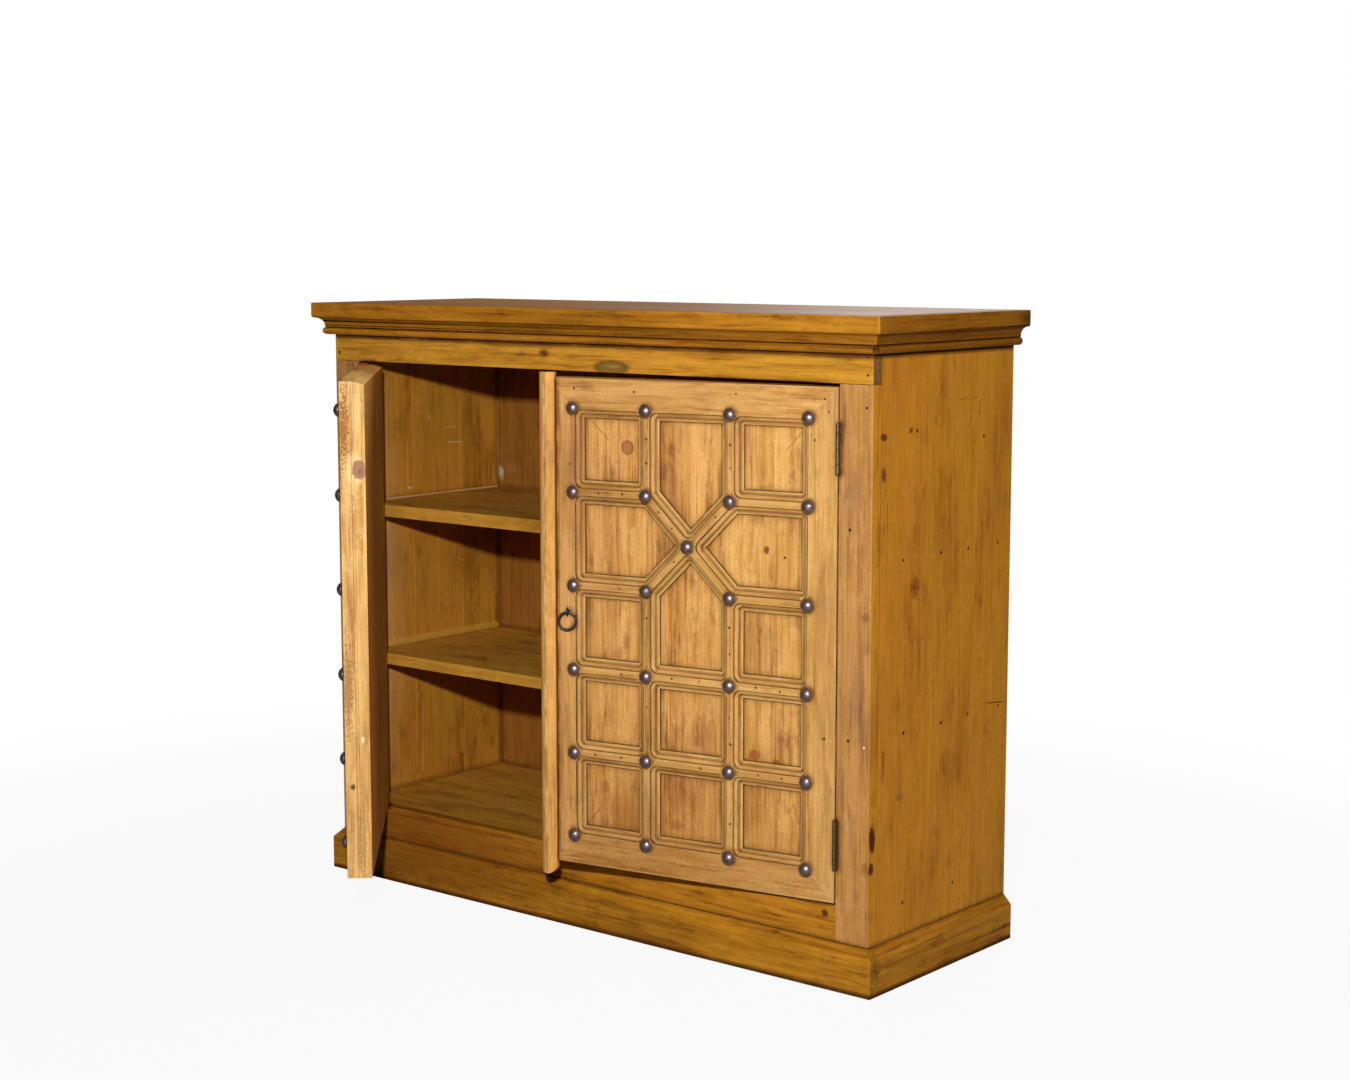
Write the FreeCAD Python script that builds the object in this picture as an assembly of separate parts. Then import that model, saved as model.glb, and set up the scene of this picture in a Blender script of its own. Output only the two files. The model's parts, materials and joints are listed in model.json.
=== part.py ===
import FreeCAD, Part
import math
import os

os.makedirs("parts", exist_ok=True)

Vector = FreeCAD.Vector

# A two-door storage cabinet in pine. X runs to the viewer's right, Y from front to back, Z up.
# The origin is on the floor, midway along the front plinth board, in line with the case's front.

# Overall sizes of the case
case_width = 1150.0
case_depth = 390.0
overall_height = 1021.0

# Boards of the case
top_thickness = 21.5
top_board_shares = (0.36, 0.33, 0.31)
side_thickness = 28.0
side_board_shares = (0.37, 0.34, 0.29)
back_thickness = 9.0
back_rebate = 14.0
back_board_count = 6
face_thickness = 22.0
stile_width = 59.5
rail_height = 56.5
frieze_reveal = 45.5
floor_thickness = 20.0
housing_depth = 8.0
batten_width = 24.0
batten_height = 26.0

# Shelves, by the height of the upper face
upper_shelf_level = 664.5
upper_shelf_thickness = 22.0
lower_shelf_level = 396.0
lower_shelf_thickness = 19.5
shelf_setback = 3.0

# Cornice moulding, by how far it stands out from the case
cornice_overhang = 29.5
moulding_height = 34.0
bead_height = 13.0
bead_overhang = 16.0
fillet_height = 2.6
fillet_overhang = 12.8
cove_overhang = 26.2
cove_rise = 13.6
fascia_round = 4.0

# Plinth
plinth_height = 73.0
plinth_chamfer_height = 16.4
plinth_overhang = 14.7
plinth_thickness = 22.0
corner_block_size = 42.0
corner_block_drop = 12.0

# Doors
door_bottom_gap = 2.5
door_top_gap = 5.4
meeting_gap = 5.0
door_face_thickness = 22.0
door_backing_thickness = 17.0
backing_board_count = 4
field_board_shares = (0.38, 0.33, 0.29)
left_open_angle = 46.6
right_open_angle = 9.2

# Lattice of ribs and studs, measured between the stud centres
stud_margin = 47.0
cross_bay = 149.0
top_bay = 133.0
lower_bay_count = 3

# Section of the ribs and of the frame's inner edge
crown_width = 11.0
arris_offset = 2.0
edge_width = 13.0
relief = 10.5
quirk_depth = 1.8
ovolo_width = 7.5
ovolo_drop = 5.6
edge_fall = 1.4

# Domed studs
stud_radius = 10.4
stud_height = 7.6
stud_rim = 0.9
nail_radius = 1.6
nail_length = 16.0

# Butt hinges
hinge_height = 76.0
hinge_inset = 91.0
knuckle_count = 5
barrel_radius = 3.0
barrel_clearance = 0.3
leaf_thickness = 1.1
leaf_depth = 19.0
leaf_clearance = 0.2
knuckle_clearance = 0.15
pin_radius = 1.5
pin_clearance = 0.05
pin_head_radius = 2.3
pin_head_height = 1.0
screw_head_radius = 3.1
screw_radius = 1.7
screw_length = 16.0
screw_place_shares = (0.2, 0.5, 0.8)
screw_depth_share = 0.56

# Cover strip over the meeting of the doors
strip_width = 28.5
strip_on_door = 15.3
strip_thickness = 15.0
strip_edge = 5.5
strip_relief = 0.5
strip_top_rise = 9.0
strip_bottom_drop = 21.0

# Ring pull
ring_wire_radius = 2.1
ring_radius = 13.9
ring_inset = 39.3
ring_pivot_level = 542.0
ring_turn = 24.0
pull_standoff = 9.5
eye_wire_radius = 1.5
eye_radius = 5.2
eye_play = 0.3
eye_shank_length = 26.0

# How far a cutting shape runs past what it cuts
overrun = 2.0

# Places worked out from the sizes above
half_width = case_width / 2
top_under = overall_height - top_thickness
moulding_base = top_under - moulding_height
frieze_base = moulding_base - frieze_reveal
rail_top = plinth_height + rail_height
back_face = case_depth - back_thickness
inner_half = half_width - side_thickness
opening_half = half_width - stile_width
hinge_gap = 2 * leaf_thickness + leaf_clearance
hinge_x = opening_half - hinge_gap / 2
hinge_y = -(barrel_radius + barrel_clearance)
door_edge = opening_half - hinge_gap
door_width = door_edge - meeting_gap / 2
door_bottom = rail_top + door_bottom_gap
door_top = frieze_base - door_top_gap
door_thickness = door_face_thickness + door_backing_thickness
frame_flat = stud_margin + arris_offset
frame_width = frame_flat + edge_width
rib_half = crown_width / 2 + edge_width
shelf_front = door_thickness + shelf_setback
outer_bay = (door_width - 2 * stud_margin - cross_bay) / 2
lower_bay = (door_top - door_bottom - 2 * stud_margin - top_bay - cross_bay) / lower_bay_count


def box(low_x, low_y, low_z, high_x, high_y, high_z):
    """Return a box between two corners."""
    size = (high_x - low_x, high_y - low_y, high_z - low_z)
    return Part.makeBox(*size, Vector(low_x, low_y, low_z))


def prism(points, run):
    """Return the solid that a closed outline of points sweeps along a vector."""
    face = Part.Face(Part.makePolygon(list(points) + [points[0]]))
    return face.extrude(run)


def line(start, end):
    """Return a straight edge."""
    return Part.LineSegment(start, end).toShape()


def arc(start, middle, end):
    """Return a round edge through three points."""
    return Part.Arc(start, middle, end).toShape()


def spans(low, high, shares):
    """Return the start and end of each board laid side by side from low to high."""
    edges = [low]
    for share in shares:
        edges.append(edges[-1] + (high - low) * share / sum(shares))
    return list(zip(edges[:-1], edges[1:]))


def group(solids):
    """Return separate solids as one shape."""
    return Part.makeCompound([solid for shape in solids for solid in shape.Solids])


def mirrored(shape):
    """Return the shape's twin on the other side of the case's middle."""
    return shape.mirror(Vector(0, 0, 0), Vector(1, 0, 0))


# Case

def side_boards():
    """Vertical boards of the right side, with housings for the shelves and floor."""
    boards = []
    for start, end in spans(face_thickness, case_depth, side_board_shares):
        board = box(inner_half, start, plinth_height, half_width, end, top_under)
        for housed in (upper_shelf(), lower_shelf(), floor_board(), back_space()):
            board = board.cut(housed)
        boards.append(board)
    return group(boards)


def back_space():
    """The rebate that the back boards fill, between the sides."""
    side = inner_half + back_rebate
    return box(-side, back_face, plinth_height, side, case_depth, top_under)


def back_boards():
    """Vertical boards of the back."""
    side = inner_half + back_rebate
    boards = []
    for start, end in spans(-side, side, [1] * back_board_count):
        boards.append(box(start, back_face, plinth_height, end, case_depth, top_under))
    return group(boards)


def shelf(level, thickness, front):
    """A board whose ends are let into the sides."""
    side = inner_half + housing_depth
    return box(-side, front, level - thickness, side, back_face, level)


def upper_shelf():
    """The upper shelf."""
    return shelf(upper_shelf_level, upper_shelf_thickness, shelf_front)


def lower_shelf():
    """The lower shelf."""
    return shelf(lower_shelf_level, lower_shelf_thickness, shelf_front)


def floor_board():
    """The floor of the case, level with the rail's upper edge."""
    return shelf(rail_top, floor_thickness, face_thickness)


def top_boards():
    """Boards of the top, which lie inside the cornice."""
    boards = []
    for start, end in spans(0, case_depth, top_board_shares):
        boards.append(box(-half_width, start, top_under, half_width, end, overall_height))
    return group(boards)


def top_battens():
    """Two battens that hold the top boards to the sides."""
    right = box(inner_half - batten_width, face_thickness, top_under - batten_height,
                inner_half, back_face, top_under)
    return group([right, mirrored(right)])


def frieze_board():
    """The board under the cornice, which runs across the whole front."""
    return box(-half_width, 0, frieze_base, half_width, face_thickness, top_under)


def case_stile():
    """The upright board at the right of the doors."""
    return box(opening_half, 0, plinth_height, half_width, face_thickness, frieze_base)


def bottom_rail():
    """The rail between the two uprights, under the doors."""
    return box(-opening_half, 0, plinth_height, opening_half, face_thickness, rail_top)


def cornice_face(place):
    """The cornice's section, where place turns an overhang and a height into a point."""
    bead_radius = bead_height / 2
    bead_core = bead_overhang - bead_radius
    bead_top = moulding_base + bead_height
    fillet_top = bead_top + fillet_height
    cove_top = fillet_top + cove_rise
    cove_run = cove_overhang - fillet_overhang
    diagonal = math.sqrt(0.5)
    edge_run = cornice_overhang - cove_overhang
    edge_rise = top_under - cove_top
    inner_foot = place(0, moulding_base)
    bead_foot = place(bead_core, moulding_base)
    bead_front = place(bead_overhang, moulding_base + bead_radius)
    bead_head = place(bead_core, bead_top)
    fillet_foot = place(fillet_overhang, bead_top)
    cove_foot = place(fillet_overhang, fillet_top)
    cove_middle = place(cove_overhang - cove_run * diagonal, fillet_top + cove_rise * diagonal)
    cove_head = place(cove_overhang, cove_top)
    edge_middle = place(cove_overhang + edge_run * diagonal, cove_top + edge_rise * (1 - diagonal))
    edge_head = place(cornice_overhang, top_under)
    outer_head = place(cornice_overhang, overall_height)
    inner_head = place(0, overall_height)
    edges = [
        line(inner_foot, bead_foot),
        arc(bead_foot, bead_front, bead_head),
        line(bead_head, fillet_foot),
        line(fillet_foot, cove_foot),
        arc(cove_foot, cove_middle, cove_head),
        arc(cove_head, edge_middle, edge_head),
        line(edge_head, outer_head),
        line(outer_head, inner_head),
        line(inner_head, inner_foot),
    ]
    return Part.Face(Part.Wire(edges))


def plan_prism(points):
    """A prism over a plan outline, as tall as the cornice moulding and the top."""
    corners = [Vector(x, y, moulding_base) for x, y in points]
    return prism(corners, Vector(0, 0, overall_height - moulding_base))


def cornice_front():
    """The cornice along the front, mitred at both ends."""
    reach = half_width + cornice_overhang
    face = cornice_face(lambda out, height: Vector(-reach, -out, height))
    bar = face.extrude(Vector(2 * reach, 0, 0))
    plan = [(-reach, -cornice_overhang), (reach, -cornice_overhang), (half_width, 0), (-half_width, 0)]
    return bar.common(plan_prism(plan))


def cornice_return():
    """The cornice along the right side, mitred at the front."""
    face = cornice_face(lambda out, height: Vector(half_width + out, -cornice_overhang, height))
    bar = face.extrude(Vector(0, cornice_overhang + case_depth, 0))
    reach = half_width + cornice_overhang
    plan = [(half_width, 0), (reach, -cornice_overhang), (reach, case_depth), (half_width, case_depth)]
    return bar.common(plan_prism(plan))


def plinth_front():
    """The plinth board along the front, chamfered along its top and its two ends."""
    reach = half_width + plinth_overhang
    shoulder = plinth_height - plinth_chamfer_height
    inner = plinth_thickness - plinth_overhang
    section = [(-plinth_overhang, 0), (-plinth_overhang, shoulder), (0, plinth_height),
               (inner, plinth_height), (inner, 0)]
    bar = prism([Vector(-reach, y, z) for y, z in section], Vector(2 * reach, 0, 0))
    ends = [(-reach, 0), (-reach, shoulder), (-half_width, plinth_height),
            (half_width, plinth_height), (reach, shoulder), (reach, 0)]
    depth = Vector(0, plinth_thickness, 0)
    return bar.common(prism([Vector(x, -plinth_overhang, z) for x, z in ends], depth))


def plinth_side():
    """The plinth board along the right side, behind the front one."""
    reach = half_width + plinth_overhang
    shoulder = plinth_height - plinth_chamfer_height
    front = plinth_thickness - plinth_overhang
    section = [(reach - plinth_thickness, 0), (reach, 0), (reach, shoulder),
               (half_width, plinth_height), (reach - plinth_thickness, plinth_height)]
    return prism([Vector(x, front, z) for x, z in section], Vector(0, case_depth - front, 0))


def plinth_back():
    """The plinth board between the two side ones at the back."""
    side = half_width + plinth_overhang - plinth_thickness
    return box(-side, case_depth - plinth_thickness, 0, side, case_depth, plinth_height)


def corner_blocks():
    """Glue blocks in the plinth's four corners, which also carry the sides."""
    side = half_width + plinth_overhang - plinth_thickness
    front = plinth_thickness - plinth_overhang
    back = case_depth - plinth_thickness
    blocks = []
    for start in (front, back - corner_block_size):
        block = box(side - corner_block_size, start, corner_block_drop,
                    side, start + corner_block_size, plinth_height)
        blocks += [block, mirrored(block)]
    return group(blocks)


# Doors, built closed, with the hinges at the right

def moulded_edge(place, start, turn):
    """Edges from a crown's arris down to the field, turning to one side of the start."""
    shoulder = quirk_depth + ovolo_drop
    ovolo_radius = (ovolo_width ** 2 + ovolo_drop ** 2) / (2 * ovolo_drop)
    half_turn = math.atan(ovolo_drop / ovolo_width)
    arris = place(start, 0)
    quirk = place(start, quirk_depth)
    middle = place(start + turn * ovolo_radius * math.sin(half_turn),
                   quirk_depth + ovolo_radius * (1 - math.cos(half_turn)))
    ovolo_foot = place(start + turn * ovolo_width, shoulder)
    lip = place(start + turn * edge_width, shoulder + edge_fall)
    foot = place(start + turn * edge_width, relief)
    return [line(arris, quirk), arc(quirk, middle, ovolo_foot), line(ovolo_foot, lip), line(lip, foot)]


def rib(start, end):
    """A straight moulded rib between two points of the door's plane, given as x and z."""
    run = Vector(end[0] - start[0], 0, end[1] - start[1])
    side = run.cross(Vector(0, 1, 0)).normalize()
    base = Vector(start[0], 0, start[1])

    def place(across, depth):
        return base + side * across + Vector(0, depth, 0)

    crown = crown_width / 2
    edges = [line(place(-crown, 0), place(crown, 0))]
    edges += moulded_edge(place, crown, 1)
    edges.append(line(place(rib_half, relief), place(-rib_half, relief)))
    edges += moulded_edge(place, -crown, -1)
    return Part.Face(Part.Wire(Part.__sortEdges__(edges))).extrude(run)


def sector(node, axis, low, high, reach):
    """A wedge of the door's face about a direction, between two bounding directions."""
    points = [Vector(node[0], -overrun, node[1])]
    for angle in (low, axis, high):
        turn = math.radians(angle)
        points.append(Vector(node[0] + reach * math.cos(turn), -overrun, node[1] + reach * math.sin(turn)))
    return prism(points, Vector(0, relief + 2 * overrun, 0))


def stud_columns():
    """The x of the four columns of studs, from the hinges to the meeting edge."""
    hinge_column = door_edge - stud_margin
    first = hinge_column - outer_bay
    second = first - cross_bay
    return [hinge_column, first, second, second - outer_bay]


def stud_rows():
    """The z of the six rows of studs, from the top down."""
    rows = [door_top - stud_margin]
    rows.append(rows[0] - top_bay)
    rows.append(rows[1] - cross_bay)
    for _ in range(lower_bay_count):
        rows.append(rows[-1] - lower_bay)
    return rows


def lattice_nodes():
    """Every stud's place by its column and row, with the cross's middle under its own name."""
    columns = stud_columns()
    rows = stud_rows()
    nodes = {(c, r): (x, z) for c, x in enumerate(columns) for r, z in enumerate(rows)}
    nodes["middle"] = ((columns[1] + columns[2]) / 2, (rows[1] + rows[2]) / 2)
    return nodes


def lattice_lines():
    """The ribs of each kind, as pairs of node names."""
    last = lower_bay_count + 2
    uprights = [((c, r), (c, r + 1)) for c in (1, 2) for r in range(last) if r != 1]
    crosses = [((c, r), (c + 1, r)) for r in range(1, last) for c in range(3) if r > 2 or c != 1]
    diagonals = [("middle", (c, r)) for c in (1, 2) for r in (1, 2)]
    return {"upright_ribs": uprights, "cross_ribs": crosses, "diagonal_ribs": diagonals}


def direction(start, end):
    """The angle from one point of the door's face to another, in degrees."""
    return math.degrees(math.atan2(end[1] - start[1], end[0] - start[0]))


def on_frame(name):
    """Whether a node lies on the door's frame, where ribs run into its moulding."""
    return name != "middle" and (name[0] in (0, 3) or name[1] in (0, lower_bay_count + 2))


def notch_outline(node, axis, reach):
    """The part of the door's face where a rib stands above the frame's inner moulding."""
    turn = math.radians(axis)
    along = Vector(math.cos(turn), 0, math.sin(turn))
    across = along.cross(Vector(0, 1, 0))
    crown = crown_width / 2
    start = Vector(node[0], -overrun, node[1]) + along * arris_offset
    corners = [start - across * crown, start + across * crown,
               start + along * reach + across * (crown + reach),
               start + along * reach - across * (crown + reach)]
    return prism(corners, Vector(0, relief + 2 * overrun, 0))


def mitred_rib(ends, nodes, directions, nails):
    """One rib, mitred against its neighbours at inner nodes and pointed into the frame."""
    start, end = (nodes[name] for name in ends)
    bar = rib(start, end)
    reach = 2 * math.dist(start, end)
    for name, here, there in ((ends[0], start, end), (ends[1], end, start)):
        axis = direction(here, there)
        if on_frame(name):
            bar = bar.common(notch_outline(here, axis, reach))
            continue
        turns = [(other - axis) % 360 for other in directions[name] if other != axis]
        low = axis - (360 - max(turns)) / 2
        high = axis + min(turns) / 2
        bar = bar.common(sector(here, axis, low, high, reach))
    return bar.cut(nails)


def lattice(nails):
    """The three groups of ribs that lie on the field boards."""
    nodes = lattice_nodes()
    lines = lattice_lines()
    directions = {}
    for kind in lines.values():
        for first, second in kind:
            directions.setdefault(first, []).append(direction(nodes[first], nodes[second]))
            directions.setdefault(second, []).append(direction(nodes[second], nodes[first]))
    return {name: group(mitred_rib(ends, nodes, directions, nails) for ends in kind)
            for name, kind in lines.items()}


def frame_member(place, length_run, corners):
    """One mitred member of the door's frame, moulded along its inner edge."""
    edges = [line(place(0, 0), place(frame_flat, 0))]
    edges += moulded_edge(place, frame_flat, 1)
    edges.append(line(place(frame_width, relief), place(frame_width, door_face_thickness)))
    edges.append(line(place(frame_width, door_face_thickness), place(0, door_face_thickness)))
    edges.append(line(place(0, door_face_thickness), place(0, 0)))
    bar = Part.Face(Part.Wire(edges)).extrude(length_run)
    outline = [Vector(x, -overrun, z) for x, z in corners]
    return bar.common(prism(outline, Vector(0, door_face_thickness + 2 * overrun, 0)))


def door_frame():
    """The four members of the door's face frame, mitred at the corners."""
    left = door_edge - door_width
    height = door_top - door_bottom
    across = Vector(door_width, 0, 0)
    upward = Vector(0, 0, height)
    outer = {"sw": (left, door_bottom), "se": (door_edge, door_bottom),
             "ne": (door_edge, door_top), "nw": (left, door_top)}
    step = {"sw": (1, 1), "se": (-1, 1), "ne": (-1, -1), "nw": (1, -1)}
    inner = {name: (outer[name][0] + step[name][0] * frame_width,
                    outer[name][1] + step[name][1] * frame_width) for name in outer}
    return {
        "top_rail": frame_member(lambda s, n: Vector(left, n, door_top - s), across,
                                 [outer["nw"], outer["ne"], inner["ne"], inner["nw"]]),
        "bottom_rail": frame_member(lambda s, n: Vector(left, n, door_bottom + s), across,
                                    [outer["sw"], outer["se"], inner["se"], inner["sw"]]),
        "hinge_stile": frame_member(lambda s, n: Vector(door_edge - s, n, door_bottom), upward,
                                    [outer["se"], outer["ne"], inner["ne"], inner["se"]]),
        "meeting_stile": frame_member(lambda s, n: Vector(left + s, n, door_bottom), upward,
                                      [outer["sw"], outer["nw"], inner["nw"], inner["sw"]]),
    }


def field_boards():
    """The boards inside the frame that carry the ribs."""
    low_x = door_edge - door_width + frame_width
    low_z = door_bottom + frame_width
    high_z = door_top - frame_width
    boards = []
    for start, end in spans(door_edge - frame_width, low_x, field_board_shares):
        boards.append(box(end, relief, low_z, start, door_face_thickness, high_z))
    return group(boards)


def backing_boards():
    """The boards that close the back of the door."""
    boards = []
    for start, end in spans(door_edge - door_width, door_edge, [1] * backing_board_count):
        boards.append(box(start, door_face_thickness, door_bottom, end, door_thickness, door_top))
    return group(boards)


def stud():
    """A domed stud with its nail, standing on the origin of the door's face."""
    edge = (stud_radius, -stud_rim)
    cap_height = stud_height - stud_rim
    cap_radius = (stud_radius ** 2 + cap_height ** 2) / (2 * cap_height)
    half_turn = math.asin(stud_radius / cap_radius) / 2
    middle = (cap_radius * math.sin(half_turn), cap_radius * (1 - math.cos(half_turn)) - stud_height)

    def place(radius, depth):
        return Vector(radius, depth, 0)

    edges = [
        arc(place(0, -stud_height), place(*middle), place(*edge)),
        line(place(*edge), place(stud_radius, 0)),
        line(place(stud_radius, 0), place(nail_radius, 0)),
        line(place(nail_radius, 0), place(nail_radius, nail_length)),
        line(place(nail_radius, nail_length), place(0, nail_length)),
        line(place(0, nail_length), place(0, -stud_height)),
    ]
    face = Part.Face(Part.Wire(edges))
    return face.revolve(Vector(0, 0, 0), Vector(0, 1, 0), 360)


def at_nodes(shape):
    """A copy of the shape at every node of the lattice."""
    copies = []
    for x, z in lattice_nodes().values():
        copy = shape.copy()
        copy.translate(Vector(x, 0, z))
        copies.append(copy)
    return group(copies)


def nail():
    """The space that a stud's nail takes in the wood."""
    return Part.makeCylinder(nail_radius, nail_length, Vector(0, 0, 0), Vector(0, 1, 0))


def strip_right():
    """The x of the cover strip's edge on its own door."""
    return door_edge - door_width + strip_on_door


def cover_strip():
    """The strip over the meeting of the doors, rounded along its front and at its foot."""
    right = strip_right()
    left = right - strip_width
    free_edge = door_edge - door_width
    bottom = door_bottom - strip_bottom_drop
    top = door_top + strip_top_rise
    middle = (left + right) / 2
    points = [Vector(left, -strip_relief, bottom), Vector(left, -strip_edge, bottom),
              Vector(middle, -strip_thickness, bottom), Vector(right, -strip_edge, bottom),
              Vector(right, 0, bottom), Vector(free_edge, 0, bottom),
              Vector(free_edge, -strip_relief, bottom)]
    edges = [line(points[0], points[1]), arc(points[1], points[2], points[3]),
             line(points[3], points[4]), line(points[4], points[5]),
             line(points[5], points[6]), line(points[6], points[0])]
    bar = Part.Face(Part.Wire(edges)).extrude(Vector(0, 0, top - bottom))
    half = strip_width / 2
    foot = [Vector(left, overrun, top), Vector(left, overrun, bottom + half),
            Vector(middle, overrun, bottom), Vector(right, overrun, bottom + half),
            Vector(right, overrun, top)]
    outline = [line(foot[0], foot[1]), arc(foot[1], foot[2], foot[3]), line(foot[3], foot[4]),
               line(foot[4], foot[0])]
    return bar.common(Part.Face(Part.Wire(outline)).extrude(Vector(0, -strip_thickness - 2 * overrun, 0)))


# Ring pull

def ring_frame():
    """The ring's pivot point, the direction of its wire there, and the way its face looks."""
    turn = math.radians(ring_turn)
    pivot = Vector(door_edge - door_width + ring_inset, -pull_standoff, ring_pivot_level)
    along = Vector(math.cos(turn), math.sin(turn), 0)
    outward = Vector(math.sin(turn), -math.cos(turn), 0)
    return pivot, along, outward


def pull_ring():
    """The ring, hanging from its pivot."""
    pivot, _, outward = ring_frame()
    return Part.makeTorus(ring_radius, ring_wire_radius, pivot - Vector(0, 0, ring_radius), outward)


def eye_shank():
    """The eye's shank, which is screwed into the meeting stile."""
    centre, _, outward = eye_frame()
    start = centre - outward * eye_radius
    return Part.makeCylinder(eye_wire_radius, eye_shank_length, start, Vector(0, 1, 0))


def eye_frame():
    """The eye's centre, with the same two directions as the ring's."""
    pivot, along, outward = ring_frame()
    rise = eye_radius - eye_wire_radius - ring_wire_radius - eye_play
    return pivot + Vector(0, 0, rise), along, outward


def pull_eye():
    """The wire eye that the ring hangs in."""
    centre, along, _ = eye_frame()
    return Part.makeTorus(eye_radius, eye_wire_radius, centre, along).fuse(eye_shank())


# Hinges, built at the right

def hinge_levels():
    """The middle height of the upper and the lower hinge."""
    return {"upper": door_top - hinge_inset, "lower": door_bottom + hinge_inset}


def leaf_screws(level, turn):
    """Countersunk screws of one leaf, driven to the side that turn gives."""
    base = hinge_x + turn * leaf_clearance / 2
    depth = leaf_depth * screw_depth_share
    screws = []
    for share in screw_place_shares:
        height = level + hinge_height * (share - 0.5)
        start = Vector(base, depth, height)
        head = Part.makeCone(screw_head_radius, screw_radius, leaf_thickness, start, Vector(turn, 0, 0))
        shank_start = Vector(base + turn * leaf_thickness, depth, height)
        shank = Part.makeCylinder(screw_radius, screw_length, shank_start, Vector(turn, 0, 0))
        screws.append(head.fuse(shank))
    return group(screws)


def hinge_leaf(level, turn, knuckles):
    """One leaf with its share of the knuckles, on the side that turn gives."""
    near = hinge_x + turn * leaf_clearance / 2
    far = near + turn * leaf_thickness
    low, high = min(near, far), max(near, far)
    foot = level - hinge_height / 2
    step = hinge_height / knuckle_count
    plate_front = hinge_y + barrel_radius + barrel_clearance
    leaf = box(low, plate_front, foot, high, leaf_depth, foot + hinge_height)
    for index in knuckles:
        start = foot + index * step + (knuckle_clearance if index > 0 else 0)
        end = foot + (index + 1) * step - (knuckle_clearance if index < knuckle_count - 1 else 0)
        leaf = leaf.fuse(box(low, hinge_y, start, high, plate_front, end))
        centre = Vector(hinge_x, hinge_y, start)
        leaf = leaf.fuse(Part.makeCylinder(barrel_radius, end - start, centre))
    bore_start = Vector(hinge_x, hinge_y, foot - overrun)
    bore = Part.makeCylinder(pin_radius + pin_clearance, hinge_height + 2 * overrun, bore_start)
    return leaf.cut(bore).cut(leaf_screws(level, turn)).removeSplitter()


def hinge_pin(level):
    """The pin through the knuckles, with a head at each end."""
    foot = level - hinge_height / 2
    pin = Part.makeCylinder(pin_radius, hinge_height, Vector(hinge_x, hinge_y, foot))
    for start in (foot - pin_head_height, foot + hinge_height):
        pin = pin.fuse(Part.makeCylinder(pin_head_radius, pin_head_height, Vector(hinge_x, hinge_y, start)))
    return pin


def frame_screws():
    """The screws of both frame leaves at the right."""
    return group(leaf_screws(level, 1) for level in hinge_levels().values())


def door_screws():
    """The screws of both door leaves at the right."""
    return group(leaf_screws(level, -1) for level in hinge_levels().values())


def frame_hinge_parts():
    """The frame leaves and pins at the right, which stay with the case."""
    frame_knuckles = range(0, knuckle_count, 2)
    parts = {}
    for name, level in hinge_levels().items():
        parts[name + "_frame_leaf"] = hinge_leaf(level, 1, frame_knuckles)
        parts[name + "_hinge_pin"] = hinge_pin(level)
    return parts


def door_parts():
    """Every piece of a closed door hung at the right."""
    nails = at_nodes(nail())
    parts = lattice(nails)
    frame_cuts = [nails, parts["upright_ribs"], parts["cross_ribs"]]
    parts["field_boards"] = group(board.cut(nails) for board in field_boards().Solids)
    parts["backing_boards"] = backing_boards()
    parts["studs"] = at_nodes(stud())
    for name, member in door_frame().items():
        parts[name] = member.cut(frame_cuts)
    parts["hinge_stile"] = parts["hinge_stile"].cut(door_screws())
    parts["leaf_screws"] = door_screws()
    door_knuckles = range(1, knuckle_count, 2)
    for name, level in hinge_levels().items():
        parts[name + "_door_leaf"] = hinge_leaf(level, -1, door_knuckles)
    return parts


def swung(shape, angle):
    """The shape turned open about the right-hand hinges."""
    copy = shape.copy()
    copy.rotate(Vector(hinge_x, hinge_y, 0), Vector(0, 0, 1), angle)
    return copy


def all_parts():
    """Every node of the cabinet by its name, at rest."""
    right_case_stile = case_stile().cut(frame_screws())
    right_side = side_boards()
    parts = {
        "top_boards": top_boards(),
        "top_battens": top_battens(),
        "cornice_front": cornice_front(),
        "cornice_right": cornice_return(),
        "cornice_left": mirrored(cornice_return()),
        "frieze_board": frieze_board(),
        "right_case_stile": right_case_stile,
        "left_case_stile": mirrored(right_case_stile),
        "bottom_rail": bottom_rail(),
        "right_side_boards": right_side,
        "left_side_boards": mirrored(right_side),
        "back_boards": back_boards(),
        "floor_board": floor_board(),
        "lower_shelf": lower_shelf(),
        "upper_shelf": upper_shelf(),
        "plinth_front": plinth_front(),
        "plinth_right": plinth_side(),
        "plinth_left": mirrored(plinth_side()),
        "plinth_back": plinth_back(),
        "plinth_corner_blocks": corner_blocks(),
        "frame_leaf_screws": group([frame_screws(), mirrored(frame_screws())]),
    }
    for name, shape in frame_hinge_parts().items():
        parts["right_" + name] = shape
        parts["left_" + name] = mirrored(shape)
    closed = door_parts()
    for name, shape in closed.items():
        parts["left_door_" + name] = mirrored(swung(shape, left_open_angle))
    closed["meeting_stile"] = closed["meeting_stile"].cut(eye_shank())
    closed["cover_strip"] = cover_strip()
    closed["pull_eye"] = pull_eye()
    for name, shape in closed.items():
        parts["right_door_" + name] = swung(shape, right_open_angle)
    parts["pull_ring"] = swung(pull_ring(), right_open_angle)
    return parts


for node, part in all_parts().items():
    part.exportStep("parts/" + node + ".step")
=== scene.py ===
"""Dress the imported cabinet: worn pine boards with grain, domed studs, nails, hinges and a ring pull."""

import json
import logging
import math
import random
from contextlib import contextmanager
from dataclasses import dataclass, field, replace
from enum import Enum
from itertools import combinations
from typing import Callable, Iterator

import bpy
import numpy as np
from mathutils import Matrix, Vector
from mathutils.bvhtree import BVHTree


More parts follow.
